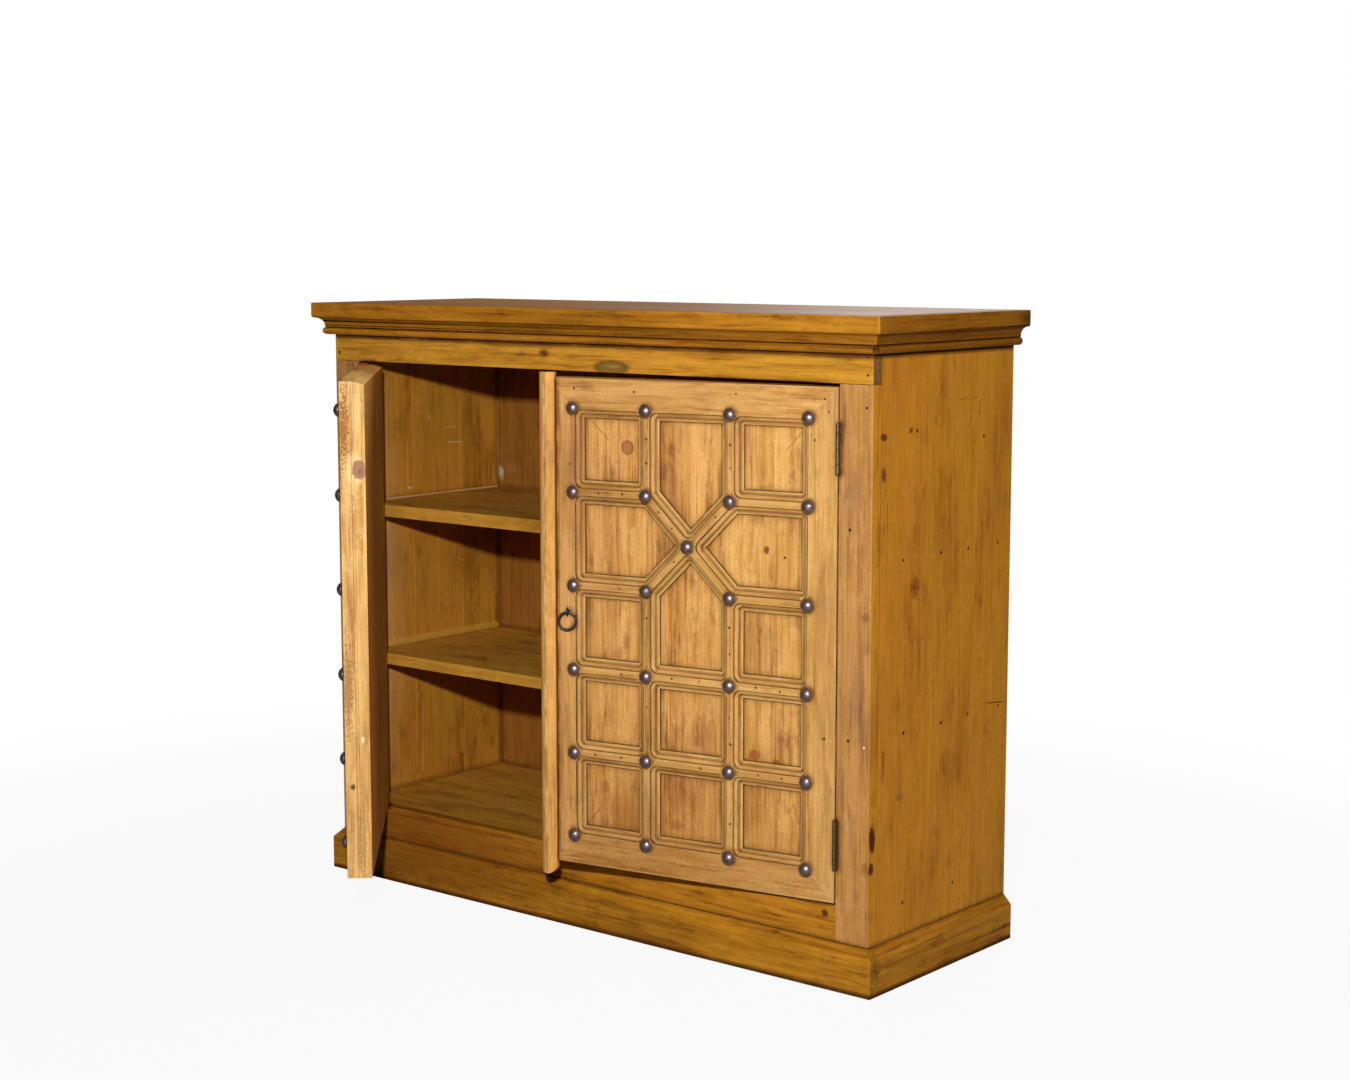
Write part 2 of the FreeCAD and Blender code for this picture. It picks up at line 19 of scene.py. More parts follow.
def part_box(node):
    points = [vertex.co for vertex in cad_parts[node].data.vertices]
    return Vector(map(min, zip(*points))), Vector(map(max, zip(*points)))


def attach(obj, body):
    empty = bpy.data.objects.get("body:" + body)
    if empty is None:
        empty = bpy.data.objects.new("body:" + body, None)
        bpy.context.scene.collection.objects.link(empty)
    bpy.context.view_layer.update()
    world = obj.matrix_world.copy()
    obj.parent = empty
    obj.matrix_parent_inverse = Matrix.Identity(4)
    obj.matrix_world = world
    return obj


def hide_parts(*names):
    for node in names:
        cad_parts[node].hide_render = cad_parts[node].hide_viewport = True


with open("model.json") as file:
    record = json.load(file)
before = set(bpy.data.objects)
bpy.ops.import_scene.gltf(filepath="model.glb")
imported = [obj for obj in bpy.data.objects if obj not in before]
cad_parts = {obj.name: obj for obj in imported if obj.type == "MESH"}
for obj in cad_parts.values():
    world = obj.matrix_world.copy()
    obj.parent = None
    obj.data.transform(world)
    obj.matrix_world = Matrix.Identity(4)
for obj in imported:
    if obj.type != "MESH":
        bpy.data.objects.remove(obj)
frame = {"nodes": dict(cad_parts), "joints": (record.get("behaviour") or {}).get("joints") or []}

LOG = logging.getLogger("cabinet")

# Lengths in metres, angles in radians, the cosine from which two directions count as one, and the steps
# across a rounded edge

MM = 0.001
WELD = 0.005 * MM
HAIR = 0.02 * MM
SHARP = math.radians(28)
FLAT = math.radians(0.6)
FOLD = math.radians(150)
PARALLEL = 0.999
BEVEL_STEPS = 2
RIGHT, LEFT = Vector((1, 0, 0)), Vector((-1, 0, 0))
FRONT, BACK, UP = Vector((0, -1, 0)), Vector((0, 1, 0)), Vector((0, 0, 1))
Colour = tuple[float, float, float]
Number = "Value | float"


class Grain(Enum):
    """Which way a board's grain runs, as the directions along and across its face."""

    UPRIGHT = (UP, RIGHT)
    UPRIGHT_SIDE = (UP, BACK)
    ACROSS = (RIGHT, UP)
    ACROSS_FLAT = (RIGHT, BACK)
    DEEP = (BACK, UP)
    RISING = ((RIGHT + UP).normalized(), (RIGHT - UP).normalized())
    FALLING = ((RIGHT - UP).normalized(), (RIGHT + UP).normalized())


# Shader graph


class Value:
    """A shader socket on which Python arithmetic adds Math nodes."""

    def __init__(self, graph: "Graph", socket: bpy.types.NodeSocket) -> None:
        """Wrap an output socket of a graph."""
        self.graph = graph
        self.socket = socket

    def __add__(self, other: Number) -> "Value":
        """Return the sum."""
        return self.graph.math("ADD", self, other)

    def __sub__(self, other: Number) -> "Value":
        """Return the difference."""
        return self.graph.math("SUBTRACT", self, other)

    def __rsub__(self, other: Number) -> "Value":
        """Return the difference, with this value taken away."""
        return self.graph.math("SUBTRACT", other, self)

    def __mul__(self, other: Number) -> "Value":
        """Return the product."""
        return self.graph.math("MULTIPLY", self, other)

    def __truediv__(self, other: Number) -> "Value":
        """Return the quotient."""
        return self.graph.math("DIVIDE", self, other)

    def __pow__(self, other: Number) -> "Value":
        """Return the power."""
        return self.graph.math("POWER", self, other)

    __radd__ = __add__
    __rmul__ = __mul__


class Graph:
    """The nodes of one material or world."""

    def __init__(self, owner: bpy.types.Material | bpy.types.World) -> None:
        """Clear the owner's nodes.

        Args:
            owner: The material or world to fill.
        """
        owner.use_nodes = True
        self.tree = owner.node_tree
        self.tree.nodes.clear()

    def node(self, kind: str, output: str | int = 0, settings: dict | None = None,
             sockets: dict | None = None) -> Value:
        """Add any node.

        Args:
            kind: The node's type.
            output: Name or index of the output to return.
            settings: Properties set before the sockets.
            sockets: Values or links by socket name or index.

        Returns:
            The chosen output.
        """
        made = self.tree.nodes.new(kind)
        for key, setting in (settings or {}).items():
            setattr(made, key, setting)
        for key, given in (sockets or {}).items():
            socket = made.inputs[key]
            if isinstance(given, Value):
                self.tree.links.new(given.socket, socket)
            elif isinstance(given, tuple) and len(socket.default_value) == 4:
                socket.default_value = (*given, 1.0)
            else:
                socket.default_value = given
        return Value(self, made.outputs[output]) if made.outputs else None

    def math(self, operation: str, *terms: Number) -> Value:
        """Return a Math node's result."""
        return self.node("ShaderNodeMath", 0, {"operation": operation}, dict(enumerate(terms)))

    def vector(self, operation: str, *terms: "Value | tuple", output: str | int = 0) -> Value:
        """Return a Vector Math node's result."""
        return self.node("ShaderNodeVectorMath", output, {"operation": operation},
                         dict(enumerate(terms)))

    def parts(self, vector: Value) -> list[Value]:
        """Return the three numbers of a vector."""
        return [self.node("ShaderNodeSeparateXYZ", axis, None, {0: vector}) for axis in "XYZ"]

    def mix(self, share: Number, first: "Value | Colour", second: "Value | Colour",
            blend: str = "MIX") -> Value:
        """Return a blend of two colours."""
        settings = {"data_type": "RGBA", "blend_type": blend}
        return self.node("ShaderNodeMix", 2, settings, {0: share, 6: first, 7: second})

    def step(self, value: Number, low: float, high: float) -> Value:
        """Return a smooth step from 0 at low to 1 at high."""
        sockets = {"Value": value, "From Min": low, "From Max": high}
        return self.node("ShaderNodeMapRange", 0, {"interpolation_type": "SMOOTHSTEP"}, sockets)

    def noise(self, place: Value, along: float, across: float, detail: float = 2.0,
              rough: float = 0.5) -> Value:
        """Return noise with so many lumps a metre along the grain and across it."""
        sockets = {"Vector": self.vector("MULTIPLY", place, (along, across, across)), "Scale": 1.0,
                   "Detail": detail, "Roughness": rough}
        return self.node("ShaderNodeTexNoise", 0, None, sockets)

    def hollow(self, reach: float, **settings: object) -> Value:
        """Return how shut in a point is within a reach, or how near to an arris with inside set."""
        settings = {"samples": 6, **settings}
        return 1.0 - self.node("ShaderNodeAmbientOcclusion", "AO", settings, {"Distance": reach})

    def bump(self, height: Value, depth: float) -> Value:
        """Return the direction of a surface that a height roughens, up to a depth in metres."""
        return self.node("ShaderNodeBump", 0, None, {"Strength": 0.5, "Distance": depth, "Height": height})

    def coats(self, colour: Value, *coats: "tuple[Value, Colour]") -> Value:
        """Return a colour with thin coats laid over it, each with its share and colour."""
        for share, coat in coats:
            colour = self.mix(share, colour, coat)
        return colour

    def finish(self, sockets: dict) -> None:
        """Add the surface shader and the material's output.

        Args:
            sockets: Values or links of the surface shader.
        """
        shader = self.node("ShaderNodeBsdfPrincipled", 0, None, sockets)
        self.node("ShaderNodeOutputMaterial", 0, None, {"Surface": shader})


def tint(red: int, green: int, blue: int) -> Colour:
    """Return a colour as the eye sees it, 0 to 255 each, in the linear numbers that a shader takes."""
    return tuple(((part / 255 + 0.055) / 1.055) ** 2.4 for part in (red, green, blue))


def shade(colour: Colour, factor: float) -> Colour:
    """Return a colour times a factor, with no part above 1."""
    return tuple(min(1.0, part * factor) for part in colour)


def metres(sizes: Colour) -> Colour:
    """Return three sizes in millimetres as metres."""
    return tuple(size * MM for size in sizes)


# A mark's dark rim: where it comes up and fades, as shares of the half size, and how dark it is

RIM_INNER, RIM_OUTER = (0.62, 0.86), (0.92, 1.12)
RIM_SHADE = 0.35


@dataclass(frozen=True)
class Mark:
    """A knot, stain, chip or filled place, by its middle on the object and its half sizes, in millimetres."""

    place: tuple[float, float, float]
    size: tuple[float, float, float]
    colour: Colour
    strength: float = 0.8
    soft: float = 0.4
    ragged: float = 0.6
    rim: float = 0.0
    bend: float = 0.0

    def reach(self, graph: Graph, on_object: Value) -> Value:
        """Return how far a point is from the middle, 1 at the mark's edge."""
        offset = graph.vector("SUBTRACT", on_object, metres(self.place))
        return graph.vector("LENGTH", graph.vector("DIVIDE", offset, metres(self.size)), output="Value")

    def lay(self, graph: Graph, colour: Value, on_object: Value, fleck: Value) -> Value:
        """Paint the mark over a colour.

        Args:
            graph: The material's nodes.
            colour: The colour below.
            on_object: The place on the object.
            fleck: Fine noise that frays the mark's edge.

        Returns:
            The colour with the mark on it.
        """
        ragged = self.reach(graph, on_object) + (fleck - 0.5) * self.ragged
        cover = 1.0 - graph.step(ragged, 1.0 - self.soft, 1.0)
        colour = graph.mix(cover * self.strength, colour, self.colour)
        if self.rim:
            ring = graph.step(ragged, *RIM_INNER) * (1.0 - graph.step(ragged, *RIM_OUTER))
            colour = graph.mix(ring * self.rim, colour, shade(self.colour, RIM_SHADE))
        return colour


@dataclass(frozen=True)
class Scratch:
    """A crack, scribed line or line of residue between two points on the object, in millimetres."""

    start: tuple[float, float, float]
    end: tuple[float, float, float]
    width: float
    colour: Colour
    strength: float = 0.7

    def lay(self, graph: Graph, colour: Value, on_object: Value, fleck: Value) -> Value:
        """Paint the line over a colour.

        Args:
            graph: The material's nodes.
            colour: The colour below.
            on_object: The place on the object.
            fleck: Fine noise that breaks the line.

        Returns:
            The colour with the line on it.
        """
        start, end, width = metres(self.start), metres(self.end), self.width * MM
        run = Vector(end) - Vector(start)
        offset = graph.vector("SUBTRACT", on_object, start)
        along = graph.vector("DOT_PRODUCT", offset, tuple(run / run.length_squared), output="Value")
        along = graph.node("ShaderNodeClamp", 0, None, {"Value": along})
        nearest = graph.vector("MULTIPLY", along, tuple(run))
        distance = graph.vector("DISTANCE", offset, nearest, output="Value")
        line = 1.0 - graph.step(distance + (fleck - 0.5) * width, width * 0.3, width)
        return graph.mix(line * (graph.step(fleck, 0.2, 0.5) * self.strength), colour, self.colour)


@dataclass(frozen=True)
class Finish:
    """A surface finish, with the name of a material slot in the record."""

    name: str
    slot: str

    def sockets(self, graph: Graph) -> dict:
        """Return what the surface shader takes."""
        raise NotImplementedError

    def material(self) -> bpy.types.Material:
        """Return the finish as a material."""
        made = bpy.data.materials.new(self.name)
        graph = Graph(made)
        graph.finish(self.sockets(graph))
        return made


# Noises, each as lumps a metre along and across the grain, detail and roughness: those that follow the
# bent grain from broad bands to pores, those of stains, and that of fine flecks

FIGURES = ((1.9, 44.0, 4.0, 0.62), (5.0, 125.0, 3.0, 0.6), (10.0, 330.0, 3.0, 0.62),
           (3.4, 21.0, 3.0, 0.6), (15.0, 640.0, 2.0, 0.55))
STAINS = ((5.0, 13.0, 4.0, 0.62), (20.0, 38.0, 4.0, 0.68))
FLECK = (260.0, 260.0, 3.0, 0.65)

# How far apart the boards' seeds put them in the log, how far the grain drifts, in metres, and the part
# of a noise's span over which streaks come up evenly

SEED_SPREAD = (31.0, 17.0, 23.0)
GRAIN_DRIFT = (0.0, 0.022, 0.022)
EVEN = (0.36, 0.64)


@dataclass(frozen=True)
class Pine(Finish):
    """A waxed pine finish, on grain coordinates that each board carries."""

    pale: Colour
    warm: Colour
    dark: Colour
    stain: Colour = tint(146, 94, 60)
    gold: Colour = tint(190, 136, 50)
    grime: Colour = tint(136, 82, 24)
    # Dark wax colour, laid in quirks and creases both as wax and as painted shade
    glaze_and_shade: Colour = tint(76, 38, 6)
    figure: float = 0.3
    streaks: float = 1.0
    smudge: float = 0.6
    golden: float = 0.5
    rubbed: float = 0.5
    # Share of the dark line in quirks and creases, which is wax together with painted shade, and how far it
    # looks for them
    line: float = 0.95
    line_reach: float = 0.010
    alone: bool = False
    # Share and reach of grime in inner corners, which also paints the shade that falls there
    grime_and_shade: float = 0.6
    grime_and_shade_reach: float = 0.012
    # Share of pale worn arrises, which also paint a highlight along the edges
    wear_and_highlight: float = 0.6
    polish: float = 0.5
    gloss: float = 0.2
    ring_gap: float = 0.0085
    knots: float = 0.3
    lift: float = 0.10
    ridge: float = 0.0
    tone: Colour = (1.0, 1.0, 1.0)
    marks: "tuple[Mark | Scratch, ...]" = ()

    def sockets(self, graph: Graph) -> dict:
        """Paint streaks, rings, worn arrises with a painted highlight, marks, and grime and dark wax with
        painted shade in hollows, and return what the surface shader takes.

        Args:
            graph: The material's nodes.

        Returns:
            Links of the surface shader by socket name.
        """
        grain = graph.node("ShaderNodeAttribute", "Vector", {"attribute_name": "grain"})
        board = graph.node("ShaderNodeAttribute", "Fac", {"attribute_name": "board"})
        chance = graph.node("ShaderNodeTexWhiteNoise", "Color", {"noise_dimensions": "1D"}, {"W": board})
        place = graph.vector("ADD", grain, graph.vector("MULTIPLY", chance, SEED_SPREAD))
        on_object = graph.node("ShaderNodeTexCoord", "Object")
        drift = graph.noise(place, 2.4, 7.0, 2.0) - 0.5
        bent = graph.vector("ADD", place, graph.vector("MULTIPLY", drift, GRAIN_DRIFT))

        rings, knot = self.rings(graph, grain, place, chance, on_object)
        bands, ribbons, strokes, gold, pores = (graph.noise(bent, *numbers) for numbers in FIGURES)
        cloud, blotch = (graph.noise(place, *numbers) for numbers in STAINS)
        fleck = graph.noise(on_object, *FLECK)

        tone = (graph.step(bands, *EVEN) * 0.42 + graph.step(ribbons, *EVEN) * 0.34
                + graph.step(strokes, *EVEN) * 0.24)
        colour = graph.mix(tone * self.streaks, self.pale, self.warm)
        lined = graph.step(ribbons + (strokes - 0.5) * 0.6, 0.52, 0.70) * (
            graph.step(blotch, 0.36, 0.62) * 0.6 + 0.2)
        rub = graph.step(cloud, 0.54, 0.38) * graph.step(blotch, 0.42, 0.60)
        smudge = graph.step(cloud, 0.50, 0.68) * 0.7 + graph.step(blotch, 0.54, 0.70) * 0.6
        smudge = smudge * (graph.step(ribbons, 0.32, 0.60) * 0.5 + 0.5)
        colour = graph.coats(
            colour, (graph.step(gold, 0.46, 0.66) * self.golden, self.gold),
            (lined * self.streaks, self.dark),
            (rings * (graph.step(bands, 0.3, 0.7) * self.figure), self.dark),
            (rub * self.rubbed, shade(self.pale, 1.18)),
            (graph.step(pores, 0.56, 0.70) * 0.4, self.dark),
            (smudge * self.smudge, self.stain), (knot * 0.8, self.stain))
        for mark in (mark for mark in self.marks if isinstance(mark, Mark)):
            colour = mark.lay(graph, colour, on_object, fleck)
        if self.ridge:
            colour = self.worn_ridge(graph, colour, grain, place)

        hues = graph.parts(chance)
        colour = graph.node("ShaderNodeHueSaturation", 0, None, {
            "Color": colour, "Value": (hues[1] - 0.5) * self.lift + (fleck - 0.5) * 0.35 + 1.0,
            "Hue": (hues[2] - 0.5) * 0.008 + 0.5})
        colour = graph.mix(1.0, colour, self.tone, "MULTIPLY")
        worn, line, grime_and_shade = self.handling(graph, blotch)
        # Pale arrises are wear with a painted highlight; the grime and glaze coats are dirt and wax with
        # painted shade in hollows
        colour = graph.coats(colour, (worn * self.wear_and_highlight, shade(self.pale, 1.3)),
                             (grime_and_shade * self.grime_and_shade, self.grime), (line * self.line, self.glaze_and_shade))
        for scratch in (mark for mark in self.marks if isinstance(mark, Scratch)):
            colour = scratch.lay(graph, colour, on_object, fleck)

        height = strokes * 0.5 + ribbons * 0.5 + bands * 0.6 - rings * 0.2 + blotch * 0.6
        rough = self.polish + (blotch - 0.5) * 0.3 + line * 0.2 + (strokes - 0.5) * 0.2
        return {"Base Color": colour, "Roughness": rough, "Normal": graph.bump(height, 0.6 * MM),
                "Specular IOR Level": self.gloss}

    def handling(self, graph: Graph, blotch: Value) -> tuple[Value, Value, Value]:
        """Find worn arrises with a painted highlight, and quirks and inner corners darkened by dark wax and
        grime together with painted shade.

        Args:
            graph: The material's nodes.
            blotch: Noise that breaks them up.

        Returns:
            The three shares, each from 0 to 1.
        """
        arris = graph.hollow(2.8 * MM, samples=4, inside=True, only_local=True)
        near = graph.hollow(self.line_reach, only_local=self.alone)
        wide = graph.hollow(self.grime_and_shade_reach)
        # Worn arrises, also a painted highlight along every convex edge
        worn = graph.step(arris, 0.10, 0.50) * graph.step(blotch, 0.36, 0.6)
        # Dark wax in quirks and creases, together with painted shade wherever the near occlusion finds a
        # hollow
        line = graph.step(near, 0.055, 0.19) * (graph.step(blotch, 0.22, 0.5) * 0.35 + 0.65)
        # Grime in inner corners and at the feet of the mouldings, together with painted shade there
        grime_and_shade = graph.step(wide, 0.03, 0.34) * (graph.step(blotch, 0.32, 0.6) * 0.75 + 0.25)
        return worn, line, grime_and_shade

    def rings(self, graph: Graph, grain: Value, place: Value, chance: Value,
              on_object: Value) -> tuple[Value, Value]:
        """Cut the board out of a log whose heart wanders, and lay its growth rings.

        Args:
            graph: The material's nodes.
            grain: Metres along, across and through the board.
            place: The same, moved by the board's seed.
            chance: Three random numbers of the board.
            on_object: The place on the object.

        Returns:
            The dark late wood and the knots, both from 0 to 1.
        """
        along, across, through = graph.parts(grain)
        offset, tilt, side = graph.parts(chance)
        wander = graph.noise(place, 1.9, 3.4, 1.0) - 0.5
        ripple = graph.noise(place, 9.0, 40.0, 2.0) - 0.5
        cells = graph.node("ShaderNodeTexVoronoi", "Distance", {"voronoi_dimensions": "3D"},
                           {"Vector": graph.vector("MULTIPLY", place, (3.6, 7.5, 7.5)), "Scale": 1.0})
        near = 1.0 - graph.step(cells, 0.0, 0.26)
        knot = (1.0 - graph.step(cells, 0.030, 0.060)) * self.knots
        swell = near * near * (0.010 * self.knots)
        for mark in self.marks:
            if isinstance(mark, Mark) and mark.bend:
                pull = 1.0 - graph.step(mark.reach(graph, on_object), 0.0, 4.5)
                swell = swell + pull * pull * (mark.bend * MM)
        rise = offset * 0.05 + 0.012 + along * ((tilt - 0.5) * 0.11) + wander * 0.085
        shift = across + (side - 0.5) * 0.07 + wander * 0.03
        depth = through + rise
        radius = (shift * shift + depth * depth) ** 0.5 + ripple * 0.006 + swell
        phase = graph.math("FRACT", radius / self.ring_gap)
        late = graph.step(phase, 0.35, 0.93) * (1.0 - graph.step(phase, 0.95, 1.0))
        return late, knot

    def worn_ridge(self, graph: Graph, colour: Value, grain: Value, place: Value) -> Value:
        """Wear the finish off along the board's middle."""
        _, across, _ = graph.parts(grain)
        shifted = across + (graph.noise(place, 9.0, 9.0, 2.0) - 0.5) * 0.006
        middle = 1.0 - graph.step(graph.math("ABSOLUTE", shifted), 0.0012, 0.0048)
        peel = graph.step(graph.noise(place, 26.0, 260.0, 3.0, 0.65), 0.47, 0.57)
        return graph.coats(colour, (middle * (self.ridge * 0.7), self.stain),
                           (middle * peel * self.ridge, BARE_WOOD))


@dataclass(frozen=True)
class Metal(Finish):
    """An old metal finish on object coordinates."""

    clean: Colour
    tarnish: Colour
    polish: float
    grime: float = 0.5
    dents: float = 0.0004
    scale: float = 260.0
    # Reach within which the metal is painted dark as shade next to the wood
    contact_shade_reach: float = 0.004

    def sockets(self, graph: Graph) -> dict:
        """Mottle the metal, paint shade where it meets the wood, and return what the surface shader takes."""
        place = graph.node("ShaderNodeTexCoord", "Object")
        mottle = graph.noise(place, self.scale, self.scale, 4.0, 0.6)
        fine = graph.noise(place, self.scale * 5, self.scale * 5, 2.0, 0.5)
        patch = graph.step(mottle, 0.38, 0.68)
        colour = graph.mix(patch * self.grime, self.clean, self.tarnish)
        # Painted shade darkens the metal where it meets the wood, as at a stud's rim
        colour = graph.mix(graph.step(graph.hollow(self.contact_shade_reach), 0.06, 0.5) * 0.85, colour, METAL_CONTACT_SHADE)
        rough = self.polish + patch * 0.18 + (fine - 0.5) * 0.1
        return {"Base Color": colour, "Metallic": 1.0 - patch * 0.25, "Roughness": rough,
                "Normal": graph.bump(mottle + fine * 0.2, self.dents)}


@dataclass(frozen=True)
class Filler(Finish):
    """A dull dark filling, as in a nail hole."""

    colour: Colour
    edge: Colour

    def sockets(self, graph: Graph) -> dict:
        """Mottle the filling, and return what the surface shader takes."""
        place = graph.node("ShaderNodeTexCoord", "Object")
        mottle = graph.noise(place, 700.0, 700.0, 3.0, 0.6)
        colour = graph.mix(graph.step(mottle, 0.4, 0.65), self.colour, self.edge)
        return {"Base Color": colour, "Roughness": mottle * 0.2 + 0.55,
                "Normal": graph.bump(mottle, 0.2 * MM)}


# Knots, stains, cracks and chips, where the real ones are: middle, half sizes, colour, strength,
# softness, raggedness, dark rim and bend of the rings; or start, end, width, colour and strength

KNOT = tint(168, 104, 62)
DARK_KNOT = tint(92, 50, 22)
SOOT = tint(120, 82, 52)
CHIP = tint(236, 222, 196)
BARE_WOOD = tint(222, 178, 120)
# Near black, painted as shade on metal where it meets the wood
METAL_CONTACT_SHADE = (0.012, 0.007, 0.006)

DOOR_MARKS = (
    Mark((145.6, -49, 807.9), (11.5, 11.5, 12), KNOT, 0.75, 0.3, 0.5, 0.5, 6),
    Mark((388.8, -9.6, 663.1), (5.5, 5.5, 8), tint(120, 62, 34), 0.9, 0.5, 0.8, 0.3, 4),
    Mark((419.7, -4.6, 653.5), (2.8, 2.8, 2.8), DARK_KNOT, 0.9),
    Mark((101.9, -56.1, 260.9), (9, 9, 11), tint(172, 112, 58), 0.7, 0.6, 0.6, 0.2, 5),
    Mark((370.5, -12.6, 343.6), (10, 10, 7.5), tint(158, 86, 46), 0.8, 0.4, 0.7, 0.4, 5),
    Mark((407.8, -6.6, 335.8), (5.5, 5.5, 5), tint(150, 82, 46), 0.8, 0.4, 0.6, 0.6, 3),
    Mark((142.8, -49.5, 498.1), (11, 11, 24), SOOT, 0.55, 0.9, 1.0),
    Mark((233, -34.9, 363), (13, 13, 22), SOOT, 0.40, 0.9, 1.2),
    Mark((233, -34.9, 215.2), (22, 22, 14), SOOT, 0.50, 0.9, 1.2),
    Mark((157.3, -47.1, 265.6), (10, 10, 26), SOOT, 0.45, 0.9, 1.2),
    Mark((208.4, -38.9, 402), (13, 13, 16), tint(232, 188, 122), 0.5, 0.9, 1.2),
    Mark((208.6, -38.8, 656.1), (16, 16, 30), SOOT, 0.50, 0.9, 1.2),
    Mark((261.8, -30.2, 602.9), (10, 10, 26), SOOT, 0.45, 0.9, 1.2),
    Mark((372.1, -12.3, 708), (20, 20, 16), SOOT, 0.35, 0.9, 1.2),
    Mark((270, -29, 340), (18, 18, 10), tint(236, 190, 126), 0.5, 0.9, 1.2),
    Mark((260, -30, 100), (500, 200, 400), tint(152, 98, 30), 0.45, 0.9, 0.5),
    Scratch((71.6, -61, 856.2), (111.7, -54.5, 818.4), 0.9, DARK_KNOT),
    Scratch((456.5, 1.3, 854.4), (420.3, -4.5, 815.3), 0.8, DARK_KNOT, 0.7),
    Scratch((67.8, -61.6, 195.2), (92.4, -57.7, 223.1), 1, DARK_KNOT, 0.8),
)
FRAME_MARKS = (
    Mark((510, -0.8, 130), (3.5, 6, 2.2), CHIP, 0.95, 0.3, 0.8),
    Mark((118, -64, 101), (60, 30, 6), tint(150, 92, 44), 0.4, 0.9, 1.0),
    Mark((260, -30, 60), (400, 200, 260), tint(156, 98, 22), 0.48, 0.9, 0.5),
)
CASE_MARKS = (
    Mark((-75.5, 0, 947), (12, 12, 7.8), DARK_KNOT, 0.95, 0.6, 1.5, 0.3, 12),
    Mark((70, 0, 928), (37, 10, 12.5), tint(116, 88, 34), 0.9, 0.25, 0.7, 0.5),
    Mark((74, 0, 930), (20, 10, 3), tint(164, 132, 66), 0.6, 0.7, 1.4),
    Mark((496.2, 0, 114), (6.5, 6.5, 6.5), tint(84, 62, 24), 0.95, 0.4, 0.9, 0.3, 6),
    Mark((405.3, 0, 68.1), (13, 20, 4), tint(112, 60, 26), 0.8, 0.6, 1.0),
    Mark((350.7, 0, 52.7), (5, 20, 7), tint(112, 60, 26), 0.7, 0.6, 1.0),
    Mark((331.1, 0, 21.3), (4, 20, 4), tint(112, 60, 26), 0.7, 0.6, 1.0),
    Mark((580, 0, 42), (20, 20, 33), tint(96, 54, 22), 0.75, 0.8, 1.0),
    Mark((-330, 0, 80), (360, 150, 130), tint(112, 56, 12), 0.6, 0.7, 0.7),
    Mark((590, -15, 974), (9, 9, 9), tint(48, 26, 10), 0.9, 0.5, 1.2),
    Mark((596, -21, 990), (11, 11, 7), tint(60, 34, 14), 0.85, 0.7, 1.6),
    Mark((604.5, 390, 1008), (20, 50, 20), tint(84, 44, 20), 0.6, 0.8, 1.2),
)
STILE_MARKS = (
    Mark((565.9, 0, 575.8), (7.5, 7.5, 7), tint(150, 84, 52), 0.7, 0.6, 0.9, 0.3, 4),
    Mark((570, 0, 194.6), (9, 9, 12), tint(142, 88, 46), 0.7, 0.6, 0.9, 0.2, 5),
    Mark((564.8, 0, 379.8), (2.2, 2.2, 2.2), CHIP, 0.95, 0.3, 0.6),
    Mark((542, 0, 760), (18, 18, 52), tint(150, 106, 84), 0.5, 0.9, 1.0),
    Mark((550, 0, 470), (16, 16, 70), tint(150, 102, 76), 0.4, 0.9, 1.0),
    Mark((545, 0, 240), (12, 12, 50), tint(156, 108, 78), 0.4, 0.9, 1.0),
)
SIDE_MARKS = (
    Mark((575, 28, 842), (5, 10, 6), DARK_KNOT, 0.85, 0.4, 1.0, 0.3, 5),
    Mark((575, 29, 786), (5, 9, 12), DARK_KNOT, 0.75, 0.5, 1.2, 0.2, 5),
    Mark((575, 116, 609.5), (5, 20, 22), tint(126, 70, 24), 0.75, 0.8, 1.4),
    Mark((575, 9, 239), (5, 10, 26), tint(84, 36, 12), 0.95, 0.4, 1.0),
    Mark((575, 6, 194.1), (5, 10, 12), tint(84, 36, 12), 0.9, 0.5, 1.0),
    Mark((575, 100, 848), (5, 7, 6), tint(120, 62, 20), 0.8, 0.6, 1.6),
    Mark((575, 36, 350), (5, 5, 36), tint(120, 66, 20), 0.6, 0.7, 2.2),
    Mark((575, 18, 690), (5, 6, 50), tint(120, 66, 20), 0.5, 0.7, 2.6),
    Scratch((575, 232, 886), (575, 258, 889), 1.2, tint(110, 62, 18), 0.5),
    Scratch((575, 266, 884), (575, 290, 891), 1.2, tint(110, 62, 18), 0.5),
    Mark((575, 80, 290), (5, 17, 8), tint(120, 100, 50), 0.5, 0.8, 1.4),
    Scratch((575, 328, 398), (575, 376, 393), 1.4, tint(70, 34, 10), 0.85),
    Scratch((575, 40, 742), (575, 41, 700), 1.4, tint(110, 60, 20), 0.6),
)
INSIDE_MARKS = (
    Mark((-547, 30, 500), (20, 130, 600), tint(255, 216, 158), 0.6, 0.9, 0.9),
    Scratch((-547, 60, 666.8), (-547, 378, 666.8), 2.6, tint(214, 172, 112), 0.6),
    Scratch((-547, 60, 401), (-547, 372, 401), 10, tint(206, 160, 62), 0.6),
    Scratch((-547, 144, 685), (-547, 144.5, 766), 1.8, tint(190, 148, 88), 0.6),
    Scratch((-547, 244, 787), (-547, 268, 786.8), 2, tint(200, 160, 96), 0.6),
    Scratch((-547, 250, 759.2), (-547, 286, 757.4), 2.2, tint(206, 170, 104), 0.65),
    Scratch((-547, 172.8, 150), (-547, 173.5, 270), 2.4, tint(196, 156, 92), 0.55),
    Mark((-547, 302.6, 540), (20, 40, 100), tint(120, 70, 22), 0.5, 0.9, 1.2),
    Mark((-547, 230, 770), (20, 60, 40), tint(196, 144, 40), 0.5, 0.9, 1.2),
    Mark((-547, 200.8, 808.8), (5, 2.2, 6), CHIP, 0.7, 0.5, 1.2),
    Mark((-547, 149.2, 682.1), (8, 6, 3), CHIP, 0.85, 0.4, 1.0),
)
